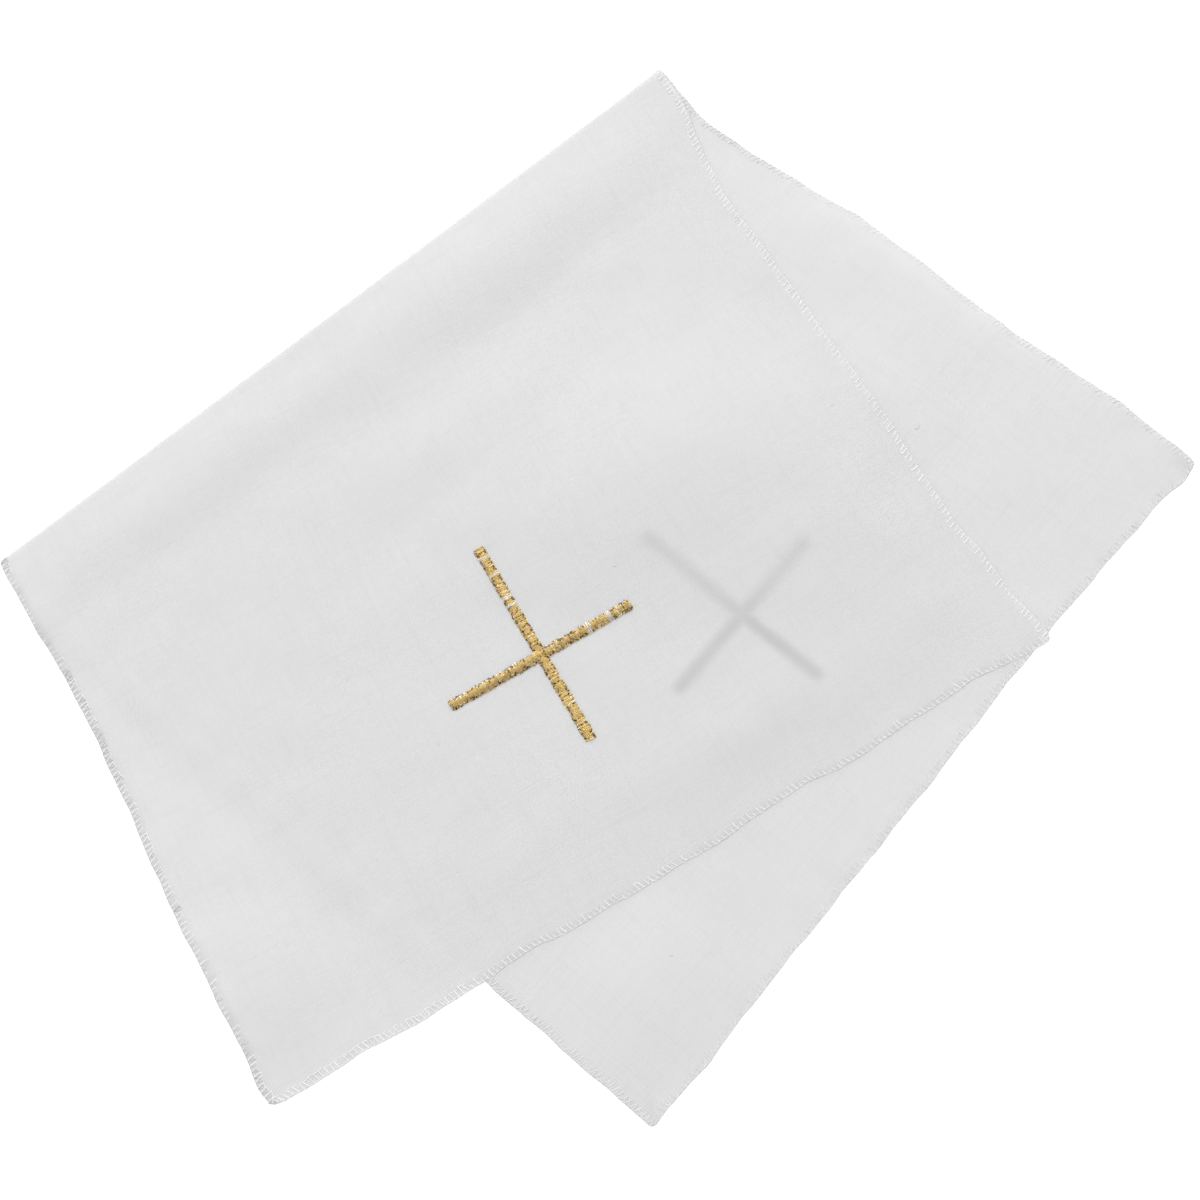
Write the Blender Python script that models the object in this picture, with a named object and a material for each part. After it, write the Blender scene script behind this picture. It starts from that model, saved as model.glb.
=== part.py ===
"""Corporal: a white altar cloth with overlocked edges, folded once, with a gold cross near each end.

Metres, +Z up. The cloth is cut flat, in (u, v): u runs across it and v from its near hem to its far
hem. It is then folded right side out along a slanted line, so that the near hem ends up on top. The
folded places are worked out in the hem frame, whose origin is the flat corner (0, 0), with +X along
the near hem and +Y towards the fold. The finished objects are centred over the origin, with z = 0 on
the surface they lie on.
"""

import math
from collections import namedtuple

import bmesh
import bpy
import numpy as np
from mathutils import Vector
from mathutils.geometry import delaunay_2d_cdt

MM = 0.001

# Cut size, and where the fold line meets the left and the right side, as distances from the near hem
WIDTH = 300 * MM
LENGTH = 510 * MM
FOLD_LEFT = 212.4 * MM
FOLD_RIGHT = 263.5 * MM

# Thickness of the cloth and of its overlocked hem, and the gap between the two layers
CLOTH_THICK = 1.0 * MM
HEM_THICK = 1.5 * MM
HEM_WIDTH = 2.8 * MM
HEM_SLOPE = 0.8 * MM
LAYER_GAP = 0.8 * MM
CORNER_RADIUS = 2.4 * MM

# The upper layer comes down to the surface past the left edge of the lower one
DROP_START = 0.5 * MM
DROP_LENGTH = 14 * MM

# One embroidered cross: arm lengths from its middle, the bars, and where its middle lies on the cloth
CROSS_HEAD = 34.4 * MM
CROSS_FOOT = 44.7 * MM
CROSS_ARM = 35.6 * MM
BAR_WIDTH = 4.3 * MM
CROSS_THICK = 0.6 * MM
CROSS_BEVEL = 0.2 * MM
SEAT_GAP = 0.3 * MM
CROSS_TO_HEM = 85.3 * MM
CROSS_TOP_U = 147 * MM
CROSS_UNDER_U = 152 * MM
CROSS_LIFT = SEAT_GAP + CROSS_THICK
LIFT_MARGIN = 0.6 * MM
LIFT_SPREAD = 6 * MM

# Spacing of the mesh along the edges and folds, and inside the cloth
EDGE_STEP = 11 * MM
FIELD_STEP = 17 * MM
LOOP_STEPS = 6
CORNER_STEPS = 3

# How far into the cloth an uneven edge still pulls it
EDGE_PULL = 32 * MM

EdgeRow = namedtuple("EdgeRow", "station_mm outward_mm")

# Unevenness of the four edges. The stations of the sides run from the near hem to the far hem
LEFT_EDGE = [
    EdgeRow(0, 2.2), EdgeRow(6, 3.3), EdgeRow(20, 2.5), EdgeRow(77, 2.1), EdgeRow(107, 0.3),
    EdgeRow(137, -0.8), EdgeRow(155, -1.1), EdgeRow(170, -0.3), EdgeRow(203, 1.2), EdgeRow(225, 0.0),
    EdgeRow(260, -1.0), EdgeRow(495, -1.2), EdgeRow(510, -1.6),
]
RIGHT_EDGE = [
    EdgeRow(0, 0.9), EdgeRow(12, 0.2), EdgeRow(24, -1.7), EdgeRow(42, -2.0), EdgeRow(54, -3.9),
    EdgeRow(105, -3.0), EdgeRow(135, -4.0), EdgeRow(165, -4.6), EdgeRow(206, -6.1), EdgeRow(218, -4.3),
    EdgeRow(237, -1.2), EdgeRow(249, 0.7), EdgeRow(264, 0.8), EdgeRow(278, -2.5), EdgeRow(293, -5.6),
    EdgeRow(309, -4.9), EdgeRow(345, -2.4), EdgeRow(360, -0.6), EdgeRow(392, -0.9), EdgeRow(418, -2.0),
    EdgeRow(441, -1.6), EdgeRow(474, 0.5), EdgeRow(500, -0.2), EdgeRow(510, -1.4),
]
NEAR_HEM = [
    EdgeRow(0, 0.9), EdgeRow(5, 1.9), EdgeRow(30, 0.9), EdgeRow(57, 1.9), EdgeRow(96, -0.2),
    EdgeRow(111, 1.0), EdgeRow(165, 0.8), EdgeRow(201, -1.8), EdgeRow(213, 0.2), EdgeRow(255, -2.2),
    EdgeRow(270, -3.0), EdgeRow(292, -1.4), EdgeRow(300, -1.0),
]
FAR_HEM = [
    EdgeRow(0, 0.0), EdgeRow(30, 0.9), EdgeRow(54, 0.0), EdgeRow(150, -0.5), EdgeRow(186, -1.4),
    EdgeRow(225, -1.7), EdgeRow(279, -0.2), EdgeRow(291, 1.6), EdgeRow(300, 0.8),
]

Swell = namedtuple("Swell", "place x_mm y_mm bearing_deg half_length_mm half_width_mm rise_mm")

# Soft swells of each layer, placed in the hem frame. Each falls to nothing at its half length and width
UPPER_SWELLS = [
    Swell("behind the right half of the fold", 208, 229, 10, 118, 25, 2.0),
    Swell("behind the left half of the fold", 72, 206, 10, 88, 20, 1.2),
    Swell("middle of the layer", 232, 138, -38, 122, 78, 1.5),
    Swell("ridge along the middle", 150, 172, 4, 72, 22, 0.7),
    Swell("over the lower cross", 215, 62, 20, 104, 92, 1.0),
]
LOWER_SWELLS = [
    Swell("outside the right edge of the upper layer", 326, 150, -70, 78, 30, 1.6),
]

FOLD_ANGLE = math.atan2(FOLD_RIGHT - FOLD_LEFT, WIDTH)
FOLD_START = Vector((0.0, FOLD_LEFT))
PAST_FOLD = Vector((-math.sin(FOLD_ANGLE), math.cos(FOLD_ANGLE)))
LAYER_RISE = CLOTH_THICK + LAYER_GAP
LOOP_RADIUS = LAYER_RISE / 2
LOOP_REACH = LOOP_RADIUS * math.pi / 2


def smooth(share):
    """0 up to a share of 0, 1 from a share of 1, and a soft step between."""
    share = min(max(share, 0.0), 1.0)
    return share * share * (3 - 2 * share)


def outward(rows, station):
    """How far an uneven edge stands out at a station along it, from its table."""
    stations = [row.station_mm * MM for row in rows]
    offsets = [row.outward_mm * MM for row in rows]
    return float(np.interp(station, stations, offsets))


def edge_shift(u, v):
    """(du, dv) by which the uneven edges pull a flat point of the cloth."""
    left = outward(LEFT_EDGE, v) * (1 - smooth(u / EDGE_PULL))
    right = outward(RIGHT_EDGE, v) * (1 - smooth((WIDTH - u) / EDGE_PULL))
    near = outward(NEAR_HEM, u) * (1 - smooth(v / EDGE_PULL))
    far = outward(FAR_HEM, u) * (1 - smooth((LENGTH - v) / EDGE_PULL))
    return right - left, far - near


def past_fold(u, v):
    """Distance of a flat point past the fold line, negative on the upper layer."""
    return (Vector((u, v)) - FOLD_START).dot(PAST_FOLD)


def swell_height(swells, x, y):
    """Height that a layer's swells add at a place in the hem frame."""
    height = 0.0
    for swell in swells:
        bearing = math.radians(swell.bearing_deg)
        dx = x - swell.x_mm * MM
        dy = y - swell.y_mm * MM
        length_share = (dx * math.cos(bearing) + dy * math.sin(bearing)) / (swell.half_length_mm * MM)
        width_share = (dy * math.cos(bearing) - dx * math.sin(bearing)) / (swell.half_width_mm * MM)
        inside = max(0.0, 1 - length_share**2 - width_share**2)
        height += swell.rise_mm * MM * inside**2
    return height


def off_lower_layer(x, y):
    """Distance of a place outside the lower layer's left edge, negative over the layer."""
    edge = Vector((math.sin(2 * FOLD_ANGLE), -math.cos(2 * FOLD_ANGLE)))
    away = Vector((x, y)) - FOLD_START
    return away.x * edge.y - away.y * edge.x


def distance_to_under_cross(u, v):
    """Distance of a flat point from the outline of the lower layer's cross, 0 inside it."""
    du = abs(u - CROSS_UNDER_U)
    dv = v - (LENGTH - CROSS_TO_HEM)
    half_bar = BAR_WIDTH / 2
    from_post = math.hypot(max(du - half_bar, 0), max(dv - CROSS_HEAD, -CROSS_FOOT - dv, 0))
    from_beam = math.hypot(max(du - CROSS_ARM, 0), max(abs(dv) - half_bar, 0))
    return min(from_post, from_beam)


def cross_lift(u, v):
    """Height by which the lower layer passes over the cross on its underside."""
    beside = distance_to_under_cross(u, v) - LIFT_MARGIN
    return CROSS_LIFT * (1 - smooth(beside / LIFT_SPREAD))


def thickness(u, v):
    """Thickness of the cloth at a flat point: the overlocked hem is thicker than the rest."""
    to_edge = min(u, WIDTH - u, v, LENGTH - v)
    return HEM_THICK + (CLOTH_THICK - HEM_THICK) * smooth((to_edge - HEM_WIDTH) / HEM_SLOPE)


def folded(u, v, rise):
    """Place in the hem frame of the flat point (u, v), rise above mid-thickness on the right side."""
    past = past_fold(u, v)
    turn = min(max((past + LOOP_REACH) / LOOP_RADIUS, 0.0), math.pi)
    short_of_fold = abs(past)
    if short_of_fold < LOOP_REACH:
        short_of_fold = LOOP_REACH - LOOP_RADIUS * math.sin(turn)
    plan = Vector((u, v)) - (past + short_of_fold) * PAST_FOLD

    side_angle = 2 * FOLD_ANGLE * turn / math.pi
    shift_u, shift_v = edge_shift(u, v)
    plan += shift_u * Vector((math.cos(side_angle), math.sin(side_angle)))
    lengthways = Vector((-math.sin(side_angle), math.cos(side_angle)))
    plan += shift_v * lengthways * (1 if turn < math.pi / 2 else -1)

    drop = smooth((off_lower_layer(*plan) - DROP_START) / DROP_LENGTH)
    below = swell_height(LOWER_SWELLS, *plan)
    lower = below + (cross_lift(u, v) if turn == math.pi else 0.0)
    upper = (below + LAYER_RISE + swell_height(UPPER_SWELLS, *plan)) * (1 - drop)
    upper_share = (1 + math.cos(turn)) / 2
    level = thickness(u, v) / 2 + lower + (upper - lower) * upper_share
    plan += rise * math.sin(turn) * PAST_FOLD
    return Vector((plan.x, plan.y, level + rise * math.cos(turn)))


def subdivided(points, step, closed=False):
    """The points of a flat line, with more between them so that none are further apart than a step."""
    ends = points[1:] + points[:1] if closed else points[1:]
    result = []
    for start, end in zip(points, ends):
        count = max(1, math.ceil((end - start).length / step))
        result += [start.lerp(end, i / count) for i in range(count)]
    return result if closed else result + [points[-1]]


def rounded_outline():
    """The cut edge of the cloth, with its four corners rounded."""
    result = []
    corners = [(0, 0, 180), (WIDTH, 0, 270), (WIDTH, LENGTH, 0), (0, LENGTH, 90)]
    for corner_u, corner_v, start_angle in corners:
        centre = Vector((
            min(max(corner_u, CORNER_RADIUS), WIDTH - CORNER_RADIUS),
            min(max(corner_v, CORNER_RADIUS), LENGTH - CORNER_RADIUS),
        ))
        for i in range(CORNER_STEPS + 1):
            angle = math.radians(start_angle + 90 * i / CORNER_STEPS)
            result.append(centre + CORNER_RADIUS * Vector((math.cos(angle), math.sin(angle))))
    return result


def inset_outline(inset):
    """A rectangle inside the cut edge, at one distance from it."""
    return [
        Vector((inset, inset)),
        Vector((WIDTH - inset, inset)),
        Vector((WIDTH - inset, LENGTH - inset)),
        Vector((inset, LENGTH - inset)),
    ]


def fold_row(past):
    """A flat line parallel to the fold, from side to side, at a distance past it."""
    drop = past / math.cos(FOLD_ANGLE)
    return [Vector((0, FOLD_LEFT + drop)), Vector((WIDTH, FOLD_RIGHT + drop))]


def drop_line(distance):
    """A line of the upper layer parallel to the lower layer's left edge, at a distance outside it."""
    down = Vector((math.sin(2 * FOLD_ANGLE), -math.cos(2 * FOLD_ANGLE)))
    start = FOLD_START - distance * Vector((-down.y, down.x))
    enter = max(0.0, -start.x / down.x)
    leave = start.y / -down.y
    return [start + enter * down, start + leave * down]


def cross_outline(centre_u, centre_v, head_sign, margin=0.0):
    """The twelve corners of a cross, grown by a margin."""
    bar = BAR_WIDTH / 2 + margin
    head = (CROSS_HEAD + margin) * head_sign
    foot = -(CROSS_FOOT + margin) * head_sign
    arm = CROSS_ARM + margin
    side = bar * head_sign
    corners = [
        (-bar, foot), (bar, foot), (bar, -side), (arm, -side), (arm, side), (bar, side),
        (bar, head), (-bar, head), (-bar, side), (-arm, side), (-arm, -side), (-bar, -side),
    ]
    return [Vector((centre_u + u, centre_v + v)) for u, v in corners]


def distance_to_lines(point, starts, ends):
    """Distance from a flat point to the nearest of many straight pieces."""
    spans = ends - starts
    lengths = np.maximum((spans**2).sum(axis=1), 1e-18)
    shares = np.clip(((point - starts) * spans).sum(axis=1) / lengths, 0, 1)
    return float(np.sqrt((((starts + shares[:, None] * spans) - point) ** 2).sum(axis=1).min()))


def crease_lines():
    """Every line that the flat cloth's mesh follows, as (points, closed)."""
    lines = [(subdivided(rounded_outline(), EDGE_STEP, closed=True), True)]
    for inset in (HEM_WIDTH, HEM_WIDTH + HEM_SLOPE):
        lines.append((subdivided(inset_outline(inset), EDGE_STEP, closed=True), True))
    for i in range(LOOP_STEPS + 1):
        past = LOOP_REACH * (2 * i / LOOP_STEPS - 1)
        lines.append((subdivided(fold_row(past), EDGE_STEP), False))
    for i in range(4):
        line = drop_line(DROP_START + DROP_LENGTH * i / 3)
        lines.append((subdivided(line, EDGE_STEP), False))
    for margin in (LIFT_MARGIN, LIFT_MARGIN + LIFT_SPREAD):
        outline = cross_outline(CROSS_UNDER_U, LENGTH - CROSS_TO_HEM, 1, margin)
        lines.append((subdivided(outline, EDGE_STEP, closed=True), True))
    return lines


def flat_mesh():
    """The cloth cut flat, as a mesh whose edges follow its hem, fold and creases."""
    points = []
    edges = []
    for line, closed in crease_lines():
        first = len(points)
        points += line
        edges += [(first + i, first + i + 1) for i in range(len(line) - 1)]
        if closed:
            edges.append((first + len(line) - 1, first))
    starts = np.array([points[a] for a, _ in edges])
    ends = np.array([points[b] for _, b in edges])
    rows = round(LENGTH / FIELD_STEP)
    columns = round(WIDTH / FIELD_STEP)
    for row in range(rows):
        for column in range(columns):
            stagger = 0.25 if row % 2 else 0.75
            point = np.array([(column + stagger) * WIDTH / columns, (row + 0.5) * LENGTH / rows])
            if distance_to_lines(point, starts, ends) > FIELD_STEP * 0.4:
                points.append(Vector(point))
    found_points, _, found_faces, *_ = delaunay_2d_cdt(points, edges, [], 0, 1e-7)
    mesh = bmesh.new()
    vertices = [mesh.verts.new((point.x, point.y, 0.0)) for point in found_points]
    for face in found_faces:
        mesh.faces.new([vertices[i] for i in face])
    bmesh.ops.recalc_face_normals(mesh, faces=mesh.faces)
    if sum(face.normal.z * face.calc_area() for face in mesh.faces) < 0:
        bmesh.ops.reverse_faces(mesh, faces=mesh.faces)
    return mesh


def extruded(mesh, height):
    """Gives a flat mesh a height: its flat side stays at z = 0 and a copy of it rises."""
    rising = bmesh.ops.extrude_face_region(mesh, geom=mesh.faces[:], use_keep_orig=True)
    top = [item for item in rising["geom"] if isinstance(item, bmesh.types.BMVert)]
    bmesh.ops.translate(mesh, verts=top, vec=(0, 0, height))
    bmesh.ops.recalc_face_normals(mesh, faces=mesh.faces)
    if mesh.calc_volume(signed=True) < 0:
        bmesh.ops.reverse_faces(mesh, faces=mesh.faces)
    return mesh


def cloth_mesh():
    """The whole cloth: cut flat, given its thickness, and folded."""
    mesh = extruded(flat_mesh(), 1.0)
    for vertex in mesh.verts:
        u, v, side = vertex.co
        vertex.co = folded(u, v, (side - 0.5) * thickness(u, v))
    return mesh


def cross_mesh(centre_u, centre_v, head_sign):
    """A raised cross of satin stitch on the right side of the cloth, folded with it."""
    mesh = bmesh.new()
    outline = subdivided(cross_outline(centre_u, centre_v, head_sign), EDGE_STEP, closed=True)
    edges = [(i, (i + 1) % len(outline)) for i in range(len(outline))]
    points, _, faces, *_ = delaunay_2d_cdt(outline, edges, [], 1, 1e-7)
    vertices = [mesh.verts.new((point.x, point.y, 0.0)) for point in points]
    for face in faces:
        mesh.faces.new([vertices[i] for i in face])
    extruded(mesh, CROSS_THICK)
    rim = [
        edge for edge in mesh.edges
        if edge.calc_face_angle(0) > math.radians(60)
        and all(vertex.co.z > CROSS_THICK / 2 for vertex in edge.verts)
    ]
    bmesh.ops.bevel(mesh, geom=rim, offset=CROSS_BEVEL, segments=2, profile=0.5, affect="EDGES")
    bmesh.ops.triangulate(mesh, faces=mesh.faces[:])
    for vertex in mesh.verts:
        u, v, height = vertex.co
        vertex.co = folded(u, v, CLOTH_THICK / 2 + SEAT_GAP + height)
    return mesh


def plain_material(name, colour, roughness, metallic=0.0):
    """A Principled material of one colour."""
    material = bpy.data.materials.new(name)
    material.use_nodes = True
    shader = material.node_tree.nodes["Principled BSDF"]
    shader.inputs["Base Color"].default_value = (*colour, 1.0)
    shader.inputs["Roughness"].default_value = roughness
    shader.inputs["Metallic"].default_value = metallic
    return material


def add_object(name, mesh, material):
    """Puts a finished mesh in the scene under its name, with its material."""
    data = bpy.data.meshes.new(name)
    mesh.to_mesh(data)
    mesh.free()
    data.materials.append(material)
    data.shade_smooth()
    data.set_sharp_from_angle(angle=math.radians(40))
    item = bpy.data.objects.new(name, data)
    bpy.context.scene.collection.objects.link(item)
    return item


def centre_objects(items):
    """Moves the objects together, so that the middle of their footprint is over the origin."""
    corners = np.array([vertex.co for item in items for vertex in item.data.vertices])
    low, high = corners.min(axis=0), corners.max(axis=0)
    for item in items:
        item.location = (-(low[0] + high[0]) / 2, -(low[1] + high[1]) / 2, -low[2])


def main():
    for item in list(bpy.data.objects):
        bpy.data.objects.remove(item)
    linen = plain_material("white linen", (0.80, 0.80, 0.80), 0.85)
    gold = plain_material("gold thread", (0.58, 0.36, 0.08), 0.35, 0.8)
    items = [
        add_object("cloth", cloth_mesh(), linen),
        add_object("cross_top", cross_mesh(CROSS_TOP_U, CROSS_TO_HEM, -1), gold),
        add_object("cross_under", cross_mesh(CROSS_UNDER_U, LENGTH - CROSS_TO_HEM, 1), gold),
    ]
    centre_objects(items)


main()
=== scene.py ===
"""Looks for the folded corporal: thin white linen, overlocked edges and two gold crosses.

Metres, +Z up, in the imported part's frame. The cloth is cut flat, in (u, v): u runs across it and v from
its near hem to its far hem. It is folded with the same sizes and tables as its solid, so that every
piece lies on the solid it stands for.
"""

import logging
import math
from collections.abc import Iterable
from dataclasses import dataclass, field
from enum import Enum

import bmesh
import bpy
import numpy as np
from mathutils import Matrix, Vector


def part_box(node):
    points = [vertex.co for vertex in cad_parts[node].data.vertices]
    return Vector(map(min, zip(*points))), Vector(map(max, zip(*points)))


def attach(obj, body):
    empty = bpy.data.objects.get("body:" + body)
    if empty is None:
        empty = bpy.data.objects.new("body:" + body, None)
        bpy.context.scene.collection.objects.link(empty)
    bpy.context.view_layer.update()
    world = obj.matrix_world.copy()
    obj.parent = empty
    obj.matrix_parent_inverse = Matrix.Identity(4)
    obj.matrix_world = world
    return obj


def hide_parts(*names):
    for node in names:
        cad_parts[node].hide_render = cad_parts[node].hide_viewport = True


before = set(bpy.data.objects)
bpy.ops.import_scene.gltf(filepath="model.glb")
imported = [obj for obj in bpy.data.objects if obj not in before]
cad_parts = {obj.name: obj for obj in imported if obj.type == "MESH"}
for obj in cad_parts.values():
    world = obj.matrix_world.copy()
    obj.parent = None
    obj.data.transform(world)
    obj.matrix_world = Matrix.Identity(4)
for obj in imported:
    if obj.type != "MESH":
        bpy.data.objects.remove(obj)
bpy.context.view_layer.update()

log = logging.getLogger("corporal")
MM = 0.001


def smooth(share: np.ndarray) -> np.ndarray:
    """0 up to a share of 0, 1 from a share of 1, and a soft step between."""
    share = np.clip(share, 0.0, 1.0)
    return share * share * (3 - 2 * share)


def linear(hex_colour: str) -> tuple[float, float, float, float]:
    """An sRGB hex colour as linear red, green, blue and alpha."""
    channels = [int(hex_colour[i : i + 2], 16) / 255 for i in (1, 3, 5)]
    return (*[c / 12.92 if c <= 0.04045 else ((c + 0.055) / 1.055) ** 2.4 for c in channels], 1.0)


def unit(vectors: np.ndarray) -> np.ndarray:
    """Each row of an array of vectors, made one long."""
    return vectors / np.maximum(np.linalg.norm(vectors, axis=-1, keepdims=True), 1e-12)


def live(sockets: Iterable, name: str | None = None) -> bpy.types.NodeSocket:
    """The first of a node's sockets that its settings leave in use, of that name where one is given."""
    return next(s for s in sockets if s.enabled and name in (None, s.name))


def feed(tree: bpy.types.NodeTree, node: bpy.types.Node, inputs: dict) -> None:
    """Gives a node what its inputs take.

    Args:
        tree: The tree that holds the node.
        node: The node.
        inputs: What each input takes, by name or number: a value, or the socket of another node.
    """
    for key, value in inputs.items():
        socket = node.inputs[key] if isinstance(key, int) else live(node.inputs, key)
        if isinstance(value, bpy.types.NodeSocket):
            tree.links.new(value, socket)
        else:
            socket.default_value = value


def add_node(
    tree: bpy.types.NodeTree, kind: str, inputs: dict | None = None, **settings: object
) -> bpy.types.Node:
    """Adds one node to a tree.

    Args:
        tree: The node tree of a material, the world or a modifier.
        kind: The node's type.
        inputs: What its inputs take, as feed reads it.
        **settings: The node's own settings, set before its inputs.

    Returns:
        The new node.
    """
    node = tree.nodes.new(kind)
    for name, value in settings.items():
        setattr(node, name, value)
    feed(tree, node, inputs or {})
    return node


def calculate(tree: bpy.types.NodeTree, operation: str, *values: object) -> bpy.types.NodeSocket:
    """The result of an operation on up to three values or sockets."""
    return add_node(tree, "ShaderNodeMath", dict(enumerate(values)), operation=operation).outputs[0]


def new_material(name: str) -> tuple[bpy.types.Material, bpy.types.NodeTree, bpy.types.Node]:
    """A material with nodes, its tree and its Principled shader."""
    material = bpy.data.materials.new(name)
    material.use_nodes = True
    return material, material.node_tree, material.node_tree.nodes["Principled BSDF"]


class Side(Enum):
    """The two sides of the cloth, by the way they face from its middle."""

    RIGHT = 1
    WRONG = -1


@dataclass(frozen=True)
class EdgeRow:
    """How far an uneven edge stands out at one station along it."""

    station_mm: float
    outward_mm: float


@dataclass(frozen=True)
class Swell:
    """A soft rise of a layer, placed in the hem frame. It falls to nothing at its half length and width."""

    place: str
    x_mm: float
    y_mm: float
    bearing_deg: float
    half_length_mm: float
    half_width_mm: float
    rise_mm: float

    def height(self, x: np.ndarray, y: np.ndarray) -> np.ndarray:
        """Height that the swell adds at places in the hem frame.

        Args:
            x: Places along the near hem, in metres.
            y: Places towards the fold, in metres.

        Returns:
            The heights, in metres.
        """
        bearing = math.radians(self.bearing_deg)
        dx, dy = x - self.x_mm * MM, y - self.y_mm * MM
        along = (dx * math.cos(bearing) + dy * math.sin(bearing)) / (self.half_length_mm * MM)
        across = (dy * math.cos(bearing) - dx * math.sin(bearing)) / (self.half_width_mm * MM)
        return self.rise_mm * MM * np.maximum(0.0, 1 - along**2 - across**2) ** 2


def edge_rows(*pairs: tuple[float, float]) -> tuple[EdgeRow, ...]:
    """An uneven edge's table, from (station_mm, outward_mm) pairs."""
    return tuple(EdgeRow(*pair) for pair in pairs)


LEFT_EDGE = edge_rows(
    (0, 2.2), (6, 3.3), (20, 2.5), (77, 2.1), (107, 0.3), (137, -0.8), (155, -1.1), (170, -0.3),
    (203, 1.2), (225, 0.0), (260, -1.0), (495, -1.2), (510, -1.6),
)
RIGHT_EDGE = edge_rows(
    (0, 0.9), (12, 0.2), (24, -1.7), (42, -2.0), (54, -3.9), (105, -3.0), (135, -4.0), (165, -4.6),
    (206, -6.1), (218, -4.3), (237, -1.2), (249, 0.7), (264, 0.8), (278, -2.5), (293, -5.6),
    (309, -4.9), (345, -2.4), (360, -0.6), (392, -0.9), (418, -2.0), (441, -1.6), (474, 0.5),
    (500, -0.2), (510, -1.4),
)
NEAR_HEM = edge_rows(
    (0, 0.9), (5, 1.9), (30, 0.9), (57, 1.9), (96, -0.2), (111, 1.0), (165, 0.8), (201, -1.8),
    (213, 0.2), (255, -2.2), (270, -3.0), (292, -1.4), (300, -1.0),
)
FAR_HEM = edge_rows(
    (0, 0.0), (30, 0.9), (54, 0.0), (150, -0.5), (186, -1.4), (225, -1.7), (279, -0.2), (291, 1.6),
    (300, 0.8),
)
UPPER_SWELLS = (
    Swell("behind the right half of the fold", 208, 226, 10, 118, 25, 1.75),
    Swell("behind the left half of the fold", 72, 206, 10, 88, 20, 1.2),
    Swell("middle of the layer", 232, 118, -30, 125, 72, 3.0),
    Swell("left of the middle", 205, 128, 0, 110, 46, 1.3),
    Swell("ridge along the middle", 150, 172, 4, 72, 22, 0.7),
    Swell("over the lower cross", 215, 62, 20, 104, 92, 1.0),
    Swell("above the near hem", 190, 20, -3, 60, 30, 0.6),
)
EDGE_SWELLS = (
    Swell("near the left corner of the near hem", 10, 34, 0, 34, 36, 1.6),
    Swell("above that corner", 12, 66, 0, 34, 50, 1.2),
)
LOWER_SWELLS = (
    Swell("outside the right edge of the upper layer", 326, 150, -70, 78, 30, 1.6),
    Swell("beside that edge", 300, 112, 0, 34, 40, 1.0),
    Swell("towards the right corner", 335, 78, 0, 60, 70, 1.3),
    Swell("above the far hem's near corner", 118, -30, 0, 40, 34, 1.2),
)


@dataclass(frozen=True)
class CrossLayout:
    """One embroidered cross: its arms and bars, and where its middle lies on the flat cloth."""

    middle_u: float
    middle_v: float
    head_sign: int
    head: float = 34.4 * MM
    foot: float = 44.7 * MM
    arm: float = 35.6 * MM
    bar: float = 4.3 * MM

    def distance(self, u: np.ndarray, v: np.ndarray) -> np.ndarray:
        """Distance of flat points from the cross's outline, 0 inside it.

        Args:
            u: Places across the cloth, in metres.
            v: Places along the cloth, in metres.

        Returns:
            The distances, in metres.
        """
        du, dv = np.abs(u - self.middle_u), (v - self.middle_v) * self.head_sign
        past_post = np.maximum(np.maximum(dv - self.head, -self.foot - dv), 0)
        from_post = np.hypot(np.maximum(du - self.bar / 2, 0), past_post)
        from_beam = np.hypot(np.maximum(du - self.arm, 0), np.maximum(np.abs(dv) - self.bar / 2, 0))
        return np.minimum(from_post, from_beam)


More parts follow.
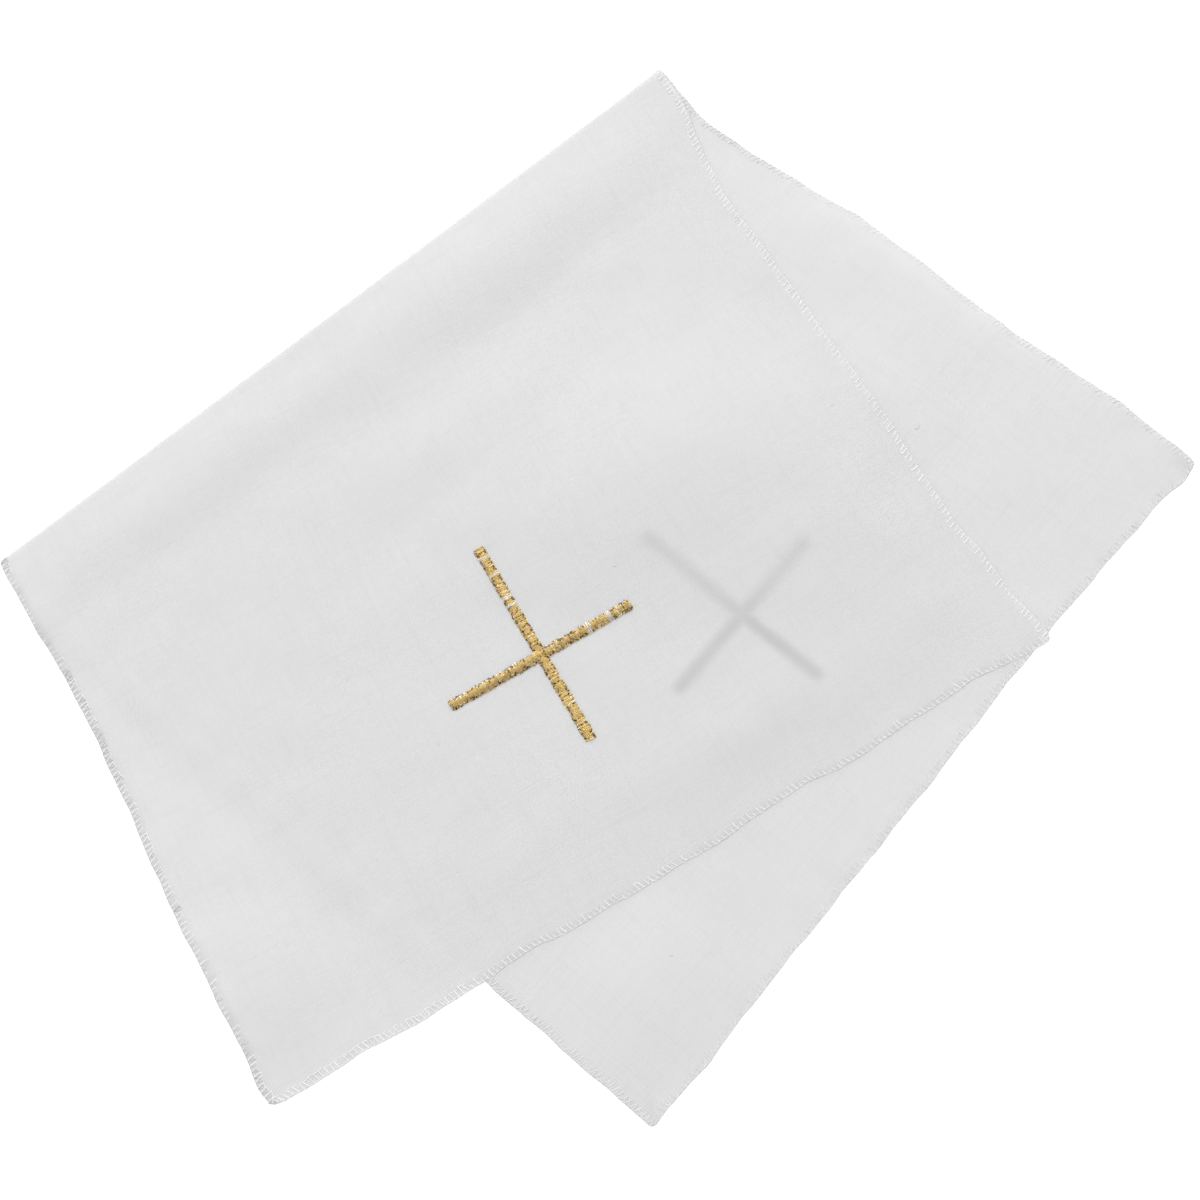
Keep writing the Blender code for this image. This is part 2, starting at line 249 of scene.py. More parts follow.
@dataclass(frozen=True)
class FoldedShape:
    """How the flat cloth is folded: its cut size, the fold, the layers' heights and the uneven edges."""

    width: float = 300 * MM
    length: float = 510 * MM
    fold_left: float = 212.4 * MM
    fold_right: float = 263.5 * MM
    thick: float = 0.26 * MM
    corner_radius: float = 1.9 * MM
    middle_height: float = 0.5 * MM
    layer_rise: float = 0.9 * MM
    touching_rise: float = 0.29 * MM
    touching_reach: float = 34 * MM
    touching_from_fold: float = 50 * MM
    rim_sink: float = 0.2 * MM
    rim_sink_reach: float = 2.6 * MM
    stitch_room: float = 0.5 * MM
    far_hem_room: float = 0.25 * MM
    drop_start: float = 0.5 * MM
    drop_length: float = 14 * MM
    edge_pull: float = 32 * MM
    cross_lift: float = 0.4 * MM
    lift_margin: float = 0.6 * MM
    lift_spread: float = 6 * MM
    wave_reach: float = 24 * MM
    wave_rise: float = 0.32 * MM
    wobble: float = 0.22 * MM
    crumple_rise: float = 0.08 * MM
    crumple_waves: int = 14
    crumple_seed: int = 11
    cross_top: CrossLayout = CrossLayout(147 * MM, 85.3 * MM, -1)
    cross_under: CrossLayout = CrossLayout(152 * MM, (510 - 85.3) * MM, 1)

    @property
    def fold_angle(self) -> float:
        """Angle of the fold line to the near hem."""
        return math.atan2(self.fold_right - self.fold_left, self.width)

    @property
    def past(self) -> np.ndarray:
        """Flat direction that points straight past the fold."""
        return np.array([-math.sin(self.fold_angle), math.cos(self.fold_angle)])

    @property
    def loop_radius(self) -> float:
        """Radius of the half circle that the folded cloth makes."""
        return self.layer_rise / 2

    @property
    def loop_reach(self) -> float:
        """Half the length of cloth that the half circle takes."""
        return self.loop_radius * math.pi / 2

    def frame_shift(self) -> np.ndarray:
        """From the hem frame to the part's frame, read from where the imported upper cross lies."""
        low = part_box("cross_top")[0]
        cross = self.cross_top
        return np.array([low.x - (cross.middle_u - cross.arm), low.y - (cross.middle_v - cross.head)])

    def outward(self, rows: tuple[EdgeRow, ...], station: np.ndarray) -> np.ndarray:
        """How far an uneven edge stands out at stations along it.

        Args:
            rows: The edge's table.
            station: Distances along the edge, in metres.

        Returns:
            The offsets, in metres, with the fine wobble of a sewn edge.
        """
        stations = [row.station_mm * MM for row in rows]
        offsets = [row.outward_mm * MM for row in rows]
        phase = rows[1].outward_mm
        wobble = np.sin(station / (2.1 * MM) + phase) * 0.45 + np.sin(station / (4.7 * MM) + 2 * phase)
        return np.interp(station, stations, offsets) + self.wobble * wobble

    def edge_shift(self, u: np.ndarray, v: np.ndarray) -> tuple[np.ndarray, np.ndarray]:
        """How far the uneven edges pull flat points of the cloth.

        Args:
            u: Places across the cloth, in metres.
            v: Places along the cloth, in metres.

        Returns:
            The pulls across and along the cloth, in metres.
        """
        left = (self.outward(LEFT_EDGE, v) - self.stitch_room) * (1 - smooth(u / self.edge_pull))
        beside = 1 - smooth((self.width - u) / self.edge_pull)
        right = (self.outward(RIGHT_EDGE, v) - self.stitch_room) * beside
        near = self.outward(NEAR_HEM, u) * (1 - smooth(v / self.edge_pull))
        beyond = 1 - smooth((self.length - v) / self.edge_pull)
        far = (self.outward(FAR_HEM, u) + self.far_hem_room) * beyond
        return right - left, far - near

    def crumple(self, u: np.ndarray, v: np.ndarray) -> np.ndarray:
        """Faint unevenness all over the cloth: many long low waves, laid across each other.

        Args:
            u: Places across the cloth, in metres.
            v: Places along the cloth, in metres.

        Returns:
            Heights of 0 or more, in metres.
        """
        draw = np.random.default_rng(self.crumple_seed)
        total = np.zeros_like(u)
        for _ in range(self.crumple_waves):
            bearing, phase = draw.uniform(0, 2 * math.pi, 2)
            wave = draw.uniform(19, 62) * MM
            ahead = u * math.cos(bearing) + v * math.sin(bearing)
            beside = u * math.sin(bearing) - v * math.cos(bearing)
            bend = 0.7 * np.sin(beside * 2.1 / wave + 3 * phase)
            total += np.sin(ahead * 2 * math.pi / wave + phase + bend)
        return self.crumple_rise * (1 + np.clip(total / math.sqrt(self.crumple_waves), -1, 1))

    def hem_waves(self, u: np.ndarray, v: np.ndarray) -> np.ndarray:
        """The soft waves that overlocking leaves along the cut edges.

        Args:
            u: Places across the cloth, in metres.
            v: Places along the cloth, in metres.

        Returns:
            Heights of 0 or more, in metres.
        """
        total = np.zeros_like(u)
        edges = ((u, v, 0.3), (self.width - u, v, 1.9), (v, u, 4.4), (self.length - v, u, 2.6))
        for inside, station, phase in edges:
            wave = np.sin(station / (5.3 * MM) + phase) * np.sin(station / (17 * MM) + 2 * phase)
            wave = 0.6 * wave + 0.4 * np.sin(station / (2.9 * MM) + 3 * phase)
            total += (0.5 + 0.5 * wave) * (1 - smooth(inside / self.wave_reach)) ** 2
        return self.wave_rise * total

    def lower_layer(self, x: np.ndarray, y: np.ndarray) -> np.ndarray:
        """Height of the lower layer over places in the hem frame.

        Args:
            x: Places along the near hem, in metres.
            y: Places towards the fold, in metres.

        Returns:
            Heights above the lowest that mid-thickness lies, in metres.
        """
        over = 2 * (x * self.past[0] + (y - self.fold_left) * self.past[1])
        u, v = x - over * self.past[0], y - over * self.past[1]
        swells = sum(swell.height(x, y) for swell in LOWER_SWELLS)
        return swells + self.crumple(u, v) + self.hem_waves(u, v)

    def touching(self, u: np.ndarray, v: np.ndarray, past: np.ndarray) -> np.ndarray:
        """How closely the upper layer lies on the lower one, near its free edges.

        Args:
            u: Places across the cloth, in metres.
            v: Places along the cloth, in metres.
            past: Distances past the fold, in metres.

        Returns:
            1 where the layers touch, 0 where they lie freely.
        """
        near = 1 - smooth(v / self.touching_reach)
        beside = 1 - smooth((self.width - u) / self.touching_reach)
        beside = beside * smooth(-past / self.touching_from_fold)
        return 1 - (1 - near) * (1 - beside)

    def place(self, u: np.ndarray, v: np.ndarray, rise: np.ndarray | float) -> np.ndarray:
        """Folds flat points of the cloth.

        Args:
            u: Places across the flat cloth, in metres.
            v: Places along the flat cloth, in metres.
            rise: Heights above mid-thickness on the cloth's right side, in metres.

        Returns:
            The places in the part's frame, one row each.
        """
        past = u * self.past[0] + (v - self.fold_left) * self.past[1]
        turn = np.clip((past + self.loop_reach) / self.loop_radius, 0, math.pi)
        in_loop = self.loop_reach - self.loop_radius * np.sin(turn)
        short = np.where(np.abs(past) < self.loop_reach, in_loop, np.abs(past))
        x = u - (past + short) * self.past[0]
        y = v - (past + short) * self.past[1]

        side = 2 * self.fold_angle * turn / math.pi
        shift_u, shift_v = self.edge_shift(u, v)
        shift_v = shift_v * np.where(turn < math.pi / 2, 1, -1)
        x = x + shift_u * np.cos(side) - shift_v * np.sin(side)
        y = y + shift_u * np.sin(side) + shift_v * np.cos(side)

        double = 2 * self.fold_angle
        off_lower = -x * math.cos(double) - (y - self.fold_left) * math.sin(double)
        drop = smooth((off_lower - self.drop_start) / self.drop_length)
        below = self.lower_layer(x, y)
        above = sum(swell.height(x, y) for swell in UPPER_SWELLS)
        beside = (self.cross_under.distance(u, v) - self.lift_margin) / self.lift_spread
        lift = self.cross_lift * (1 - smooth(beside)) * (past > self.loop_reach)
        touching = self.touching(u, v, past) * (1 - drop)
        rise_over = self.layer_rise + above + (self.touching_rise - self.layer_rise - above) * touching
        by_edge = sum(swell.height(x, y) for swell in EDGE_SWELLS)
        own = (self.crumple(u, v) * (1 - np.sin(turn)) + self.hem_waves(u, v)) * (1 - 0.9 * touching)
        from_rim = np.minimum(v, self.width - u)
        sunk = self.rim_sink * (1 - smooth(from_rim / self.rim_sink_reach)) * touching
        upper = (below + rise_over - sunk) * (1 - drop) + by_edge + own
        share = (1 + np.cos(turn)) / 2
        level = self.middle_height + below + lift + (upper - below - lift) * share

        x = x + rise * np.sin(turn) * self.past[0]
        y = y + rise * np.sin(turn) * self.past[1]
        shift = self.frame_shift()
        return np.stack([x + shift[0], y + shift[1], level + rise * np.cos(turn)], axis=-1)

    def right_side(self, u: np.ndarray, v: np.ndarray) -> np.ndarray:
        """The way the cloth's right side faces at flat points, one unit vector each."""
        return unit(self.place(u, v, 0.1 * MM) - self.place(u, v, -0.1 * MM))

    def rounded(self, u: np.ndarray, v: np.ndarray) -> tuple[np.ndarray, np.ndarray]:
        """Pulls flat points in, so that the four square corners of a grid become round.

        Args:
            u: Places across the flat cloth, in metres.
            v: Places along the flat cloth, in metres.

        Returns:
            The new places across and along it.
        """
        radius = self.corner_radius
        du = u - np.clip(u, radius, self.width - radius)
        dv = v - np.clip(v, radius, self.length - radius)
        reach = np.hypot(du, dv)
        keep = np.where(reach > 0, np.maximum(np.abs(du), np.abs(dv)) / np.maximum(reach, 1e-12), 1.0)
        return u - du * (1 - keep), v - dv * (1 - keep)


@dataclass(frozen=True)
class LinenFinish:
    """Thin plain-woven white linen, half see-through."""

    colour: str = "#F5F5F5"
    shaded_colour: str = "#ECECED"
    shadow_colour: str = "#E5E5E6"
    painted_hem_shade_colour: str = "#DBDBDC"
    painted_hem_shade_share: float = 0.42
    other_hem_shade: float = 0.08
    lower_side_shade: float = 0.38
    hem_reach_mm: float = 4.2
    far_corner_shade: float = 0.9
    corner_reach_mm: float = 10.0
    passes: float = 0.45
    roughness: float = 0.85
    thread_pitch_mm: float = 0.9
    slub_length_mm: float = 26.0
    slub_width_mm: float = 0.9
    slub_height: float = 0.6
    slub_tone: float = 0.22
    wander_per_mm: float = 0.09
    wander_mm: float = 3.2
    bump_strength: float = 0.35
    bump_depth: float = 0.08 * MM
    sheen: float = 0.08
    specular: float = 0.25
    contact_scale: float = 0.035
    apart_from_mm: float = -4.0
    apart_to_mm: float = 18.0
    lift_share: float = 0.7
    extra_blur_mm: float = 1.3
    end_blur_mm: float = 2.6
    narrowing_mm: float = 0.9
    narrow_spot: tuple[float, float] = (8.5, -6.0)
    narrow_spot_mm: float = 9.0
    blur_mm: float = 1.9
    fading: float = 0.5

    def build(self, shape: FoldedShape) -> bpy.types.Material:
        """Makes the material.

        Args:
            shape: The folded shape, whose lower cross shows through the upper layer.

        Returns:
            A weave of fine threads with slubs, that lets part of the light through.
        """
        # The eye gets a matt white with a fine square weave, faint thick and thin threads in both
        # directions, painted shade along the cut edges, and a painted shadow of the lower cross under the
        # upper layer.
        material, tree, surface = new_material("plain_woven_white_linen")
        flat = add_node(tree, "ShaderNodeUVMap", uv_map="flat_cut").outputs[0]
        flat_mm = add_node(tree, "ShaderNodeMapping", {"Vector": flat, "Scale": (1 / MM,) * 3}).outputs[0]
        slub = calculate(tree, "ADD", self.slubs(tree, flat_mm, True), self.slubs(tree, flat_mm, False))
        height = calculate(tree, "MULTIPLY_ADD", slub, self.slub_height, self.weave(tree, flat_mm))
        near_edge = self.painted_hem_shade(tree, flat_mm, shape)
        colour = linear(self.colour)
        for share, over in (
            (calculate(tree, "MULTIPLY", slub, self.slub_tone), self.shaded_colour),
            # Painted shade along the cut edges
            (calculate(tree, "MULTIPLY", near_edge, self.painted_hem_shade_share), self.painted_hem_shade_colour),
            # Painted shadow of the lower cross
            (self.painted_cross_shadow(tree, shape), self.shadow_colour),
        ):
            colour = add_node(
                tree, "ShaderNodeMix", {0: share, 6: colour, 7: linear(over)}, data_type="RGBA"
            ).outputs[2]
        bump = add_node(
            tree,
            "ShaderNodeBump",
            {"Strength": self.bump_strength, "Distance": self.bump_depth, "Height": height},
        ).outputs[0]
        feed(tree, surface, {
            "Base Color": colour,
            "Roughness": self.roughness,
            "Sheen Weight": self.sheen,
            "Specular IOR Level": self.specular,
            "Normal": bump,
        })
        through = add_node(tree, "ShaderNodeBsdfTranslucent", {"Color": colour, "Normal": bump})
        mixed = add_node(
            tree, "ShaderNodeMixShader", {0: self.passes, 1: surface.outputs[0], 2: through.outputs[0]}
        )
        feed(tree, tree.nodes["Material Output"], {"Surface": mixed.outputs[0]})
        return material

    def weave(self, tree: bpy.types.NodeTree, flat_mm: bpy.types.NodeSocket) -> bpy.types.NodeSocket:
        """Height of the woven threads over the flat cloth, from 0 to 1.

        Args:
            tree: The material's node tree.
            flat_mm: Places on the flat cloth, in millimetres.

        Returns:
            The socket with the height. The threads are drawn about twice as coarse as the real
            0.4 mm, so that they show.
        """
        noise = add_node(
            tree, "ShaderNodeTexNoise", {"Vector": flat_mm, "Scale": self.wander_per_mm, "Detail": 2.0}
        )
        wander = noise.outputs["Color"]
        for operation, inputs in (
            ("SUBTRACT", {1: (0.5, 0.5, 0.5)}),
            ("SCALE", {"Scale": self.wander_mm}),
            ("ADD", {1: flat_mm}),
        ):
            moved = add_node(tree, "ShaderNodeVectorMath", {0: wander, **inputs}, operation=operation)
            wander = moved.outputs[0]
        axes = add_node(tree, "ShaderNodeSeparateXYZ", {0: wander}).outputs
        ridges = []
        for axis in axes[:2]:
            wave = calculate(tree, "SINE", calculate(tree, "MULTIPLY", axis, math.pi / self.thread_pitch_mm))
            ridges.append(calculate(tree, "ABSOLUTE", wave))
        return calculate(tree, "MULTIPLY", *ridges)

    def slubs(
        self, tree: bpy.types.NodeTree, flat_mm: bpy.types.NodeSocket, along_u: bool
    ) -> bpy.types.NodeSocket:
        """Thick and thin places of the threads that run one way.

        Args:
            tree: The material's node tree.
            flat_mm: Places on the flat cloth, in millimetres.
            along_u: True for the threads across the cloth, False for those along it.

        Returns:
            The socket with their strength, from 0 to 1.
        """
        long, short = 1 / self.slub_length_mm, 1 / self.slub_width_mm
        scale = (long, short, 1) if along_u else (short, long, 1)
        stretched = add_node(
            tree, "ShaderNodeMapping", {"Vector": flat_mm, "Location": (3.1, 7.7, 0.4), "Scale": scale}
        ).outputs[0]
        noise = add_node(
            tree, "ShaderNodeTexNoise", {"Vector": stretched, "Scale": 1.0, "Detail": 1.5}
        ).outputs["Fac"]
        return add_node(
            tree, "ShaderNodeMapRange", {"Value": noise, "From Min": 0.5, "From Max": 0.78}
        ).outputs[0]

    def painted_hem_shade(
        self, tree: bpy.types.NodeTree, flat_mm: bpy.types.NodeSocket, shape: FoldedShape
    ) -> bpy.types.NodeSocket:
        """Painted shade along the cut edges, strongest along the upper layer's left edge and at the two
        far corners.

        Args:
            tree: The material's node tree.
            flat_mm: Places on the flat cloth, in millimetres.
            shape: The folded shape.

        Returns:
            The socket with the strength, from 0 inside the cloth to 1 at a cut edge.
        """
        across, along = add_node(tree, "ShaderNodeSeparateXYZ", {0: flat_mm}).outputs[:2]
        half = shape.length / 2 / MM
        off_right = calculate(tree, "SUBTRACT", shape.width / MM, across)
        off_middle = calculate(tree, "ABSOLUTE", calculate(tree, "SUBTRACT", along, half))
        off_ends = calculate(tree, "SUBTRACT", half, off_middle)
        sides = []
        for fold, on_upper in ((shape.fold_left, 1.0), (shape.fold_right, self.other_hem_shade)):
            upper = calculate(tree, "LESS_THAN", along, fold / MM)
            more = on_upper - self.lower_side_shade
            sides.append(calculate(tree, "MULTIPLY_ADD", upper, more, self.lower_side_shade))
        off_side = calculate(tree, "MINIMUM", across, off_right)
        off_far = calculate(tree, "SUBTRACT", shape.length / MM, along)
        strength = 0.0
        for inside, reach, most in (
            (across, self.hem_reach_mm, sides[0]),
            (off_right, self.hem_reach_mm, sides[1]),
            (off_ends, self.hem_reach_mm, self.other_hem_shade),
            (calculate(tree, "MAXIMUM", off_side, off_far), self.corner_reach_mm, self.far_corner_shade),
        ):
            one = add_node(
                tree,
                "ShaderNodeMapRange",
                {"Value": inside, "From Min": reach, "From Max": 0.0, "To Max": most},
                interpolation_type="SMOOTHSTEP",
            ).outputs[0]
            strength = calculate(tree, "MAXIMUM", one, strength)
        return strength

    def painted_cross_shadow(self, tree: bpy.types.NodeTree, shape: FoldedShape) -> bpy.types.NodeSocket:
        """How much painted shadow the lower cross puts on the layer that lies over it, as a socket from 0 to
        1.

        Args:
            tree: The material's node tree.
            shape: The folded shape.

        Returns:
            The socket with the strength.
        """
        cross = shape.cross_under
        middle = shape.place(np.array([cross.middle_u]), np.array([cross.middle_v]), 0.0)[0]
        place = add_node(tree, "ShaderNodeTexCoord").outputs["Object"]
        # The Mapping node turns the part's frame into the cross's own, with +Y towards its foot
        axes = add_node(
            tree,
            "ShaderNodeMapping",
            {"Vector": place, "Location": (*middle[:2], 0.0), "Rotation": (0.0, 0.0, 2 * shape.fold_angle)},
            vector_type="TEXTURE",
        ).outputs[0]
        in_mm = add_node(
            tree, "ShaderNodeVectorMath", {0: axes, "Scale": 1 / MM}, operation="SCALE"
        ).outputs[0]
        part = add_node(tree, "ShaderNodeSeparateXYZ", {0: in_mm}).outputs
        across, beside = (calculate(tree, "ABSOLUTE", axis) for axis in part[:2])
        # The post runs further on the foot's side than on the head's
        off_centre = calculate(tree, "SUBTRACT", part[1], (cross.foot - cross.head) / 2 / MM)
        shifted = calculate(tree, "ABSOLUTE", off_centre)
        half_bar, half_post = cross.bar / 2 / MM, (cross.foot + cross.head) / 2 / MM
        contact = add_node(
            tree, "ShaderNodeTexNoise", {"Vector": in_mm, "Scale": self.contact_scale, "Detail": 0.5}
        ).outputs["Fac"]
        # The layers touch near the hem and lie further apart towards the fold. Where they are apart the
        # painted shadow is paler and its sides are softer
        from_middle = add_node(
            tree, "ShaderNodeVectorMath", {0: place, 1: tuple(middle)}, operation="SUBTRACT"
        ).outputs[0]
        towards_fold = add_node(
            tree,
            "ShaderNodeVectorMath",
            {0: from_middle, 1: (0.45 / MM, 0.89 / MM, 0.0)},
            operation="DOT_PRODUCT",
        ).outputs["Value"]
        lifted, patchy = (
            add_node(
                tree, "ShaderNodeMapRange", {"Value": value, "From Min": low, "From Max": high}
            ).outputs[0]
            for value, low, high in (
                (towards_fold, self.apart_from_mm, self.apart_to_mm),
                (contact, 0.62, 0.38),
            )
        )
        by_patch = calculate(tree, "MULTIPLY", patchy, 1 - self.lift_share)
        apart = calculate(tree, "MULTIPLY_ADD", lifted, self.lift_share, by_patch)
        spot = (self.narrow_spot[0] * MM, self.narrow_spot[1] * MM, 0.0)
        from_spot = add_node(
            tree, "ShaderNodeVectorMath", {0: from_middle, 1: spot}, operation="DISTANCE"
        ).outputs["Value"]
        reach = self.narrow_spot_mm * MM
        pinched = add_node(
            tree,
            "ShaderNodeMapRange",
            {"Value": from_spot, "From Min": reach, "From Max": 0.0, "To Max": self.narrowing_mm},
            interpolation_type="SMOOTHSTEP",
        ).outputs[0]
        blur = calculate(tree, "MULTIPLY_ADD", apart, self.extra_blur_mm, self.blur_mm)
        outer, inner = calculate(tree, "ADD", half_bar, blur), calculate(tree, "SUBTRACT", half_bar, blur)
        bars = []
        for narrow, wide, reach in ((across, shifted, half_post), (beside, across, cross.arm / MM)):
            shares = [
                add_node(
                    tree,
                    "ShaderNodeMapRange",
                    {"Value": value, "From Min": low, "From Max": high},
                    interpolation_type="SMOOTHSTEP",
                ).outputs[0]
                for value, low, high in (
                    (calculate(tree, "ADD", narrow, pinched), outer, inner),
                    (wide, reach + self.end_blur_mm, reach - self.end_blur_mm),
                )
            ]
            bars.append(calculate(tree, "MULTIPLY", *shares))
        both = calculate(tree, "MAXIMUM", *bars)
        height = add_node(tree, "ShaderNodeSeparateXYZ", {0: place}).outputs[2]
        upper = calculate(tree, "GREATER_THAN", height, shape.middle_height + shape.layer_rise + 0.1 * MM)
        strength = calculate(tree, "MULTIPLY_ADD", apart, -self.fading, 1.0)
        return calculate(tree, "MULTIPLY", calculate(tree, "MULTIPLY", both, upper), strength)


@dataclass(frozen=True)
class OverlockThreadFinish:
    """White polyester overlock thread."""

    colour: str = "#FFFFFF"
    painted_thread_shade_colour: str = "#BFBFC1"
    roughness: float = 0.42
    mean_share: float = 0.97
    fibre_mm: float = 0.25
    fibre_share: float = 0.3
    sheen: float = 0.2

    def build(self) -> bpy.types.Material:
        """Makes the material."""
        # The eye gets a brighter, silkier white than the cloth's, broken up into single threads, with painted
        # highlights on some and painted shade towards the rim
        material, tree, shader = new_material("white_polyester_overlock_thread")
        place = add_node(tree, "ShaderNodeTexCoord").outputs["Object"]
        fibres = add_node(
            tree, "ShaderNodeTexNoise", {"Vector": place, "Scale": 1 / (self.fibre_mm * MM), "Detail": 2.0}
        ).outputs["Fac"]
        tone, painted_thread_shade, vivid = (
            add_node(tree, "ShaderNodeAttribute", attribute_name=name).outputs["Fac"]
            for name in ("thread_tone", "painted_thread_shade", "vivid")
        )
        # Painted highlights on a few random threads, partly also their own uneven tone
        painted_glints = add_node(
            tree, "ShaderNodeMapRange", {"Value": tone, "From Min": 0.05, "From Max": 0.5, "To Max": 1.6}
        ).outputs[0]
        lit = calculate(tree, "MULTIPLY", painted_glints, calculate(tree, "SUBTRACT", 1.0, painted_thread_shade))
        share = calculate(tree, "MULTIPLY_ADD", fibres, self.fibre_share, lit)
        # Where the stitches stand out less, the painted highlights and painted shade come closer to their
        # mean
        capped = calculate(tree, "MINIMUM", share, 1.0)
        off_mean = calculate(tree, "SUBTRACT", capped, self.mean_share)
        share = calculate(tree, "MULTIPLY_ADD", off_mean, vivid, self.mean_share)
        colours = {6: linear(self.painted_thread_shade_colour), 7: linear(self.colour)}
        feed(tree, shader, {
            "Base Color": add_node(tree, "ShaderNodeMix", {0: share, **colours}, data_type="RGBA").outputs[2],
            "Normal": add_node(
                tree, "ShaderNodeBump", {"Strength": 0.4, "Distance": 0.05 * MM, "Height": fibres}
            ).outputs[0],
            "Roughness": self.roughness,
            "Sheen Weight": self.sheen,
        })
        return material


@dataclass(frozen=True)
class NepFinish:
    """Tangled grey-white fibre of the yarn."""

    colour: str = "#CFCFCD"
    roughness: float = 0.9

    def build(self) -> bpy.types.Material:
        """Makes the material."""
        # The eye gets a small soft grey spot on the white
        material, tree, shader = new_material("tangled_linen_fibre")
        place = add_node(tree, "ShaderNodeTexCoord").outputs["Object"]
        fibres = add_node(
            tree, "ShaderNodeTexNoise", {"Vector": place, "Scale": 4 / MM, "Detail": 2.0}
        ).outputs["Fac"]
        feed(tree, shader, {
            "Normal": add_node(
                tree, "ShaderNodeBump", {"Strength": 0.5, "Distance": 0.1 * MM, "Height": fibres}
            ).outputs[0],
            "Base Color": linear(self.colour),
            "Roughness": self.roughness,
        })
        return material


@dataclass(frozen=True)
class GoldThreadFinish:
    """Gold metallic embroidery thread: foil wrapped round a core."""

    foil_colour: str = "#DEC17E"
    painted_gap_shade_colour: str = "#5E3D16"
    painted_glint_colour: str = "#FFF6DA"
    bare_colour: str = "#EFEBE3"
    roughness: float = 0.34
    metallic: float = 0.85
    foil_step_mm: float = 0.55
    grain_spread: float = 0.42
    side_spread: float = 0.55
    lightness: float = 0.36
    tone_share: float = 0.26
    side_shade: float = -0.2
    bare_share: float = 0.8

    def build(self) -> bpy.types.Material:
        """Makes the material."""
        # The eye gets warm gold grains: painted shade in the gaps where the foil turns away, painted
        # near-white glints where it catches the light, and pale places where the stitches are thin
        material, tree, shader = new_material("gold_foil_wrapped_thread")
        place = add_node(tree, "ShaderNodeTexCoord").outputs["Object"]
        grains = add_node(
            tree, "ShaderNodeTexVoronoi", {"Vector": place, "Scale": 1 / (self.foil_step_mm * MM)}
        )
        grain = add_node(tree, "ShaderNodeSeparateColor", {0: grains.outputs["Color"]}).outputs[0]
        tone, turned_down, thin = (
            add_node(tree, "ShaderNodeAttribute", attribute_name=name).outputs["Fac"]
            for name in ("thread_tone", "turned_down", "thin_place")
        )
        # Grains differ least on the bar's crown and most where the threads turn down at its sides
        spread = calculate(tree, "MULTIPLY_ADD", turned_down, self.side_spread, self.grain_spread)
        off_mean = calculate(tree, "SUBTRACT", grain, 0.5)
        mixed = calculate(tree, "MULTIPLY_ADD", off_mean, spread, self.lightness)
        mixed = calculate(tree, "MULTIPLY_ADD", tone, self.tone_share, mixed)
        # Painted shade where the threads turn down at the bar's sides
        mixed = calculate(tree, "MULTIPLY_ADD", turned_down, self.side_shade, mixed)
        ramp = add_node(tree, "ShaderNodeValToRGB", {0: mixed})
        stops = (
            (0.16, self.painted_gap_shade_colour),
            (0.36, self.foil_colour),
            (0.66, self.foil_colour),
            (0.77, self.painted_glint_colour),
        )
        while len(ramp.color_ramp.elements) < len(stops):
            ramp.color_ramp.elements.new(0.5)
        for element, (position, colour) in zip(ramp.color_ramp.elements, stops):
            element.position = position
            element.color = linear(colour)
        share = calculate(tree, "MULTIPLY", thin, self.bare_share)
        colours = {6: ramp.outputs[0], 7: linear(self.bare_colour)}
        smoothest, roughest = self.roughness - 0.14, self.roughness + 0.2
        feed(tree, shader, {
            "Base Color": add_node(tree, "ShaderNodeMix", {0: share, **colours}, data_type="RGBA").outputs[2],
            "Roughness": add_node(
                tree, "ShaderNodeMapRange", {"Value": grain, "To Min": smoothest, "To Max": roughest}
            ).outputs[0],
            "Normal": add_node(
                tree, "ShaderNodeBump", {"Strength": 0.5, "Distance": 0.08 * MM, "Height": grain}
            ).outputs[0],
            "Metallic": self.metallic,
        })
        return material


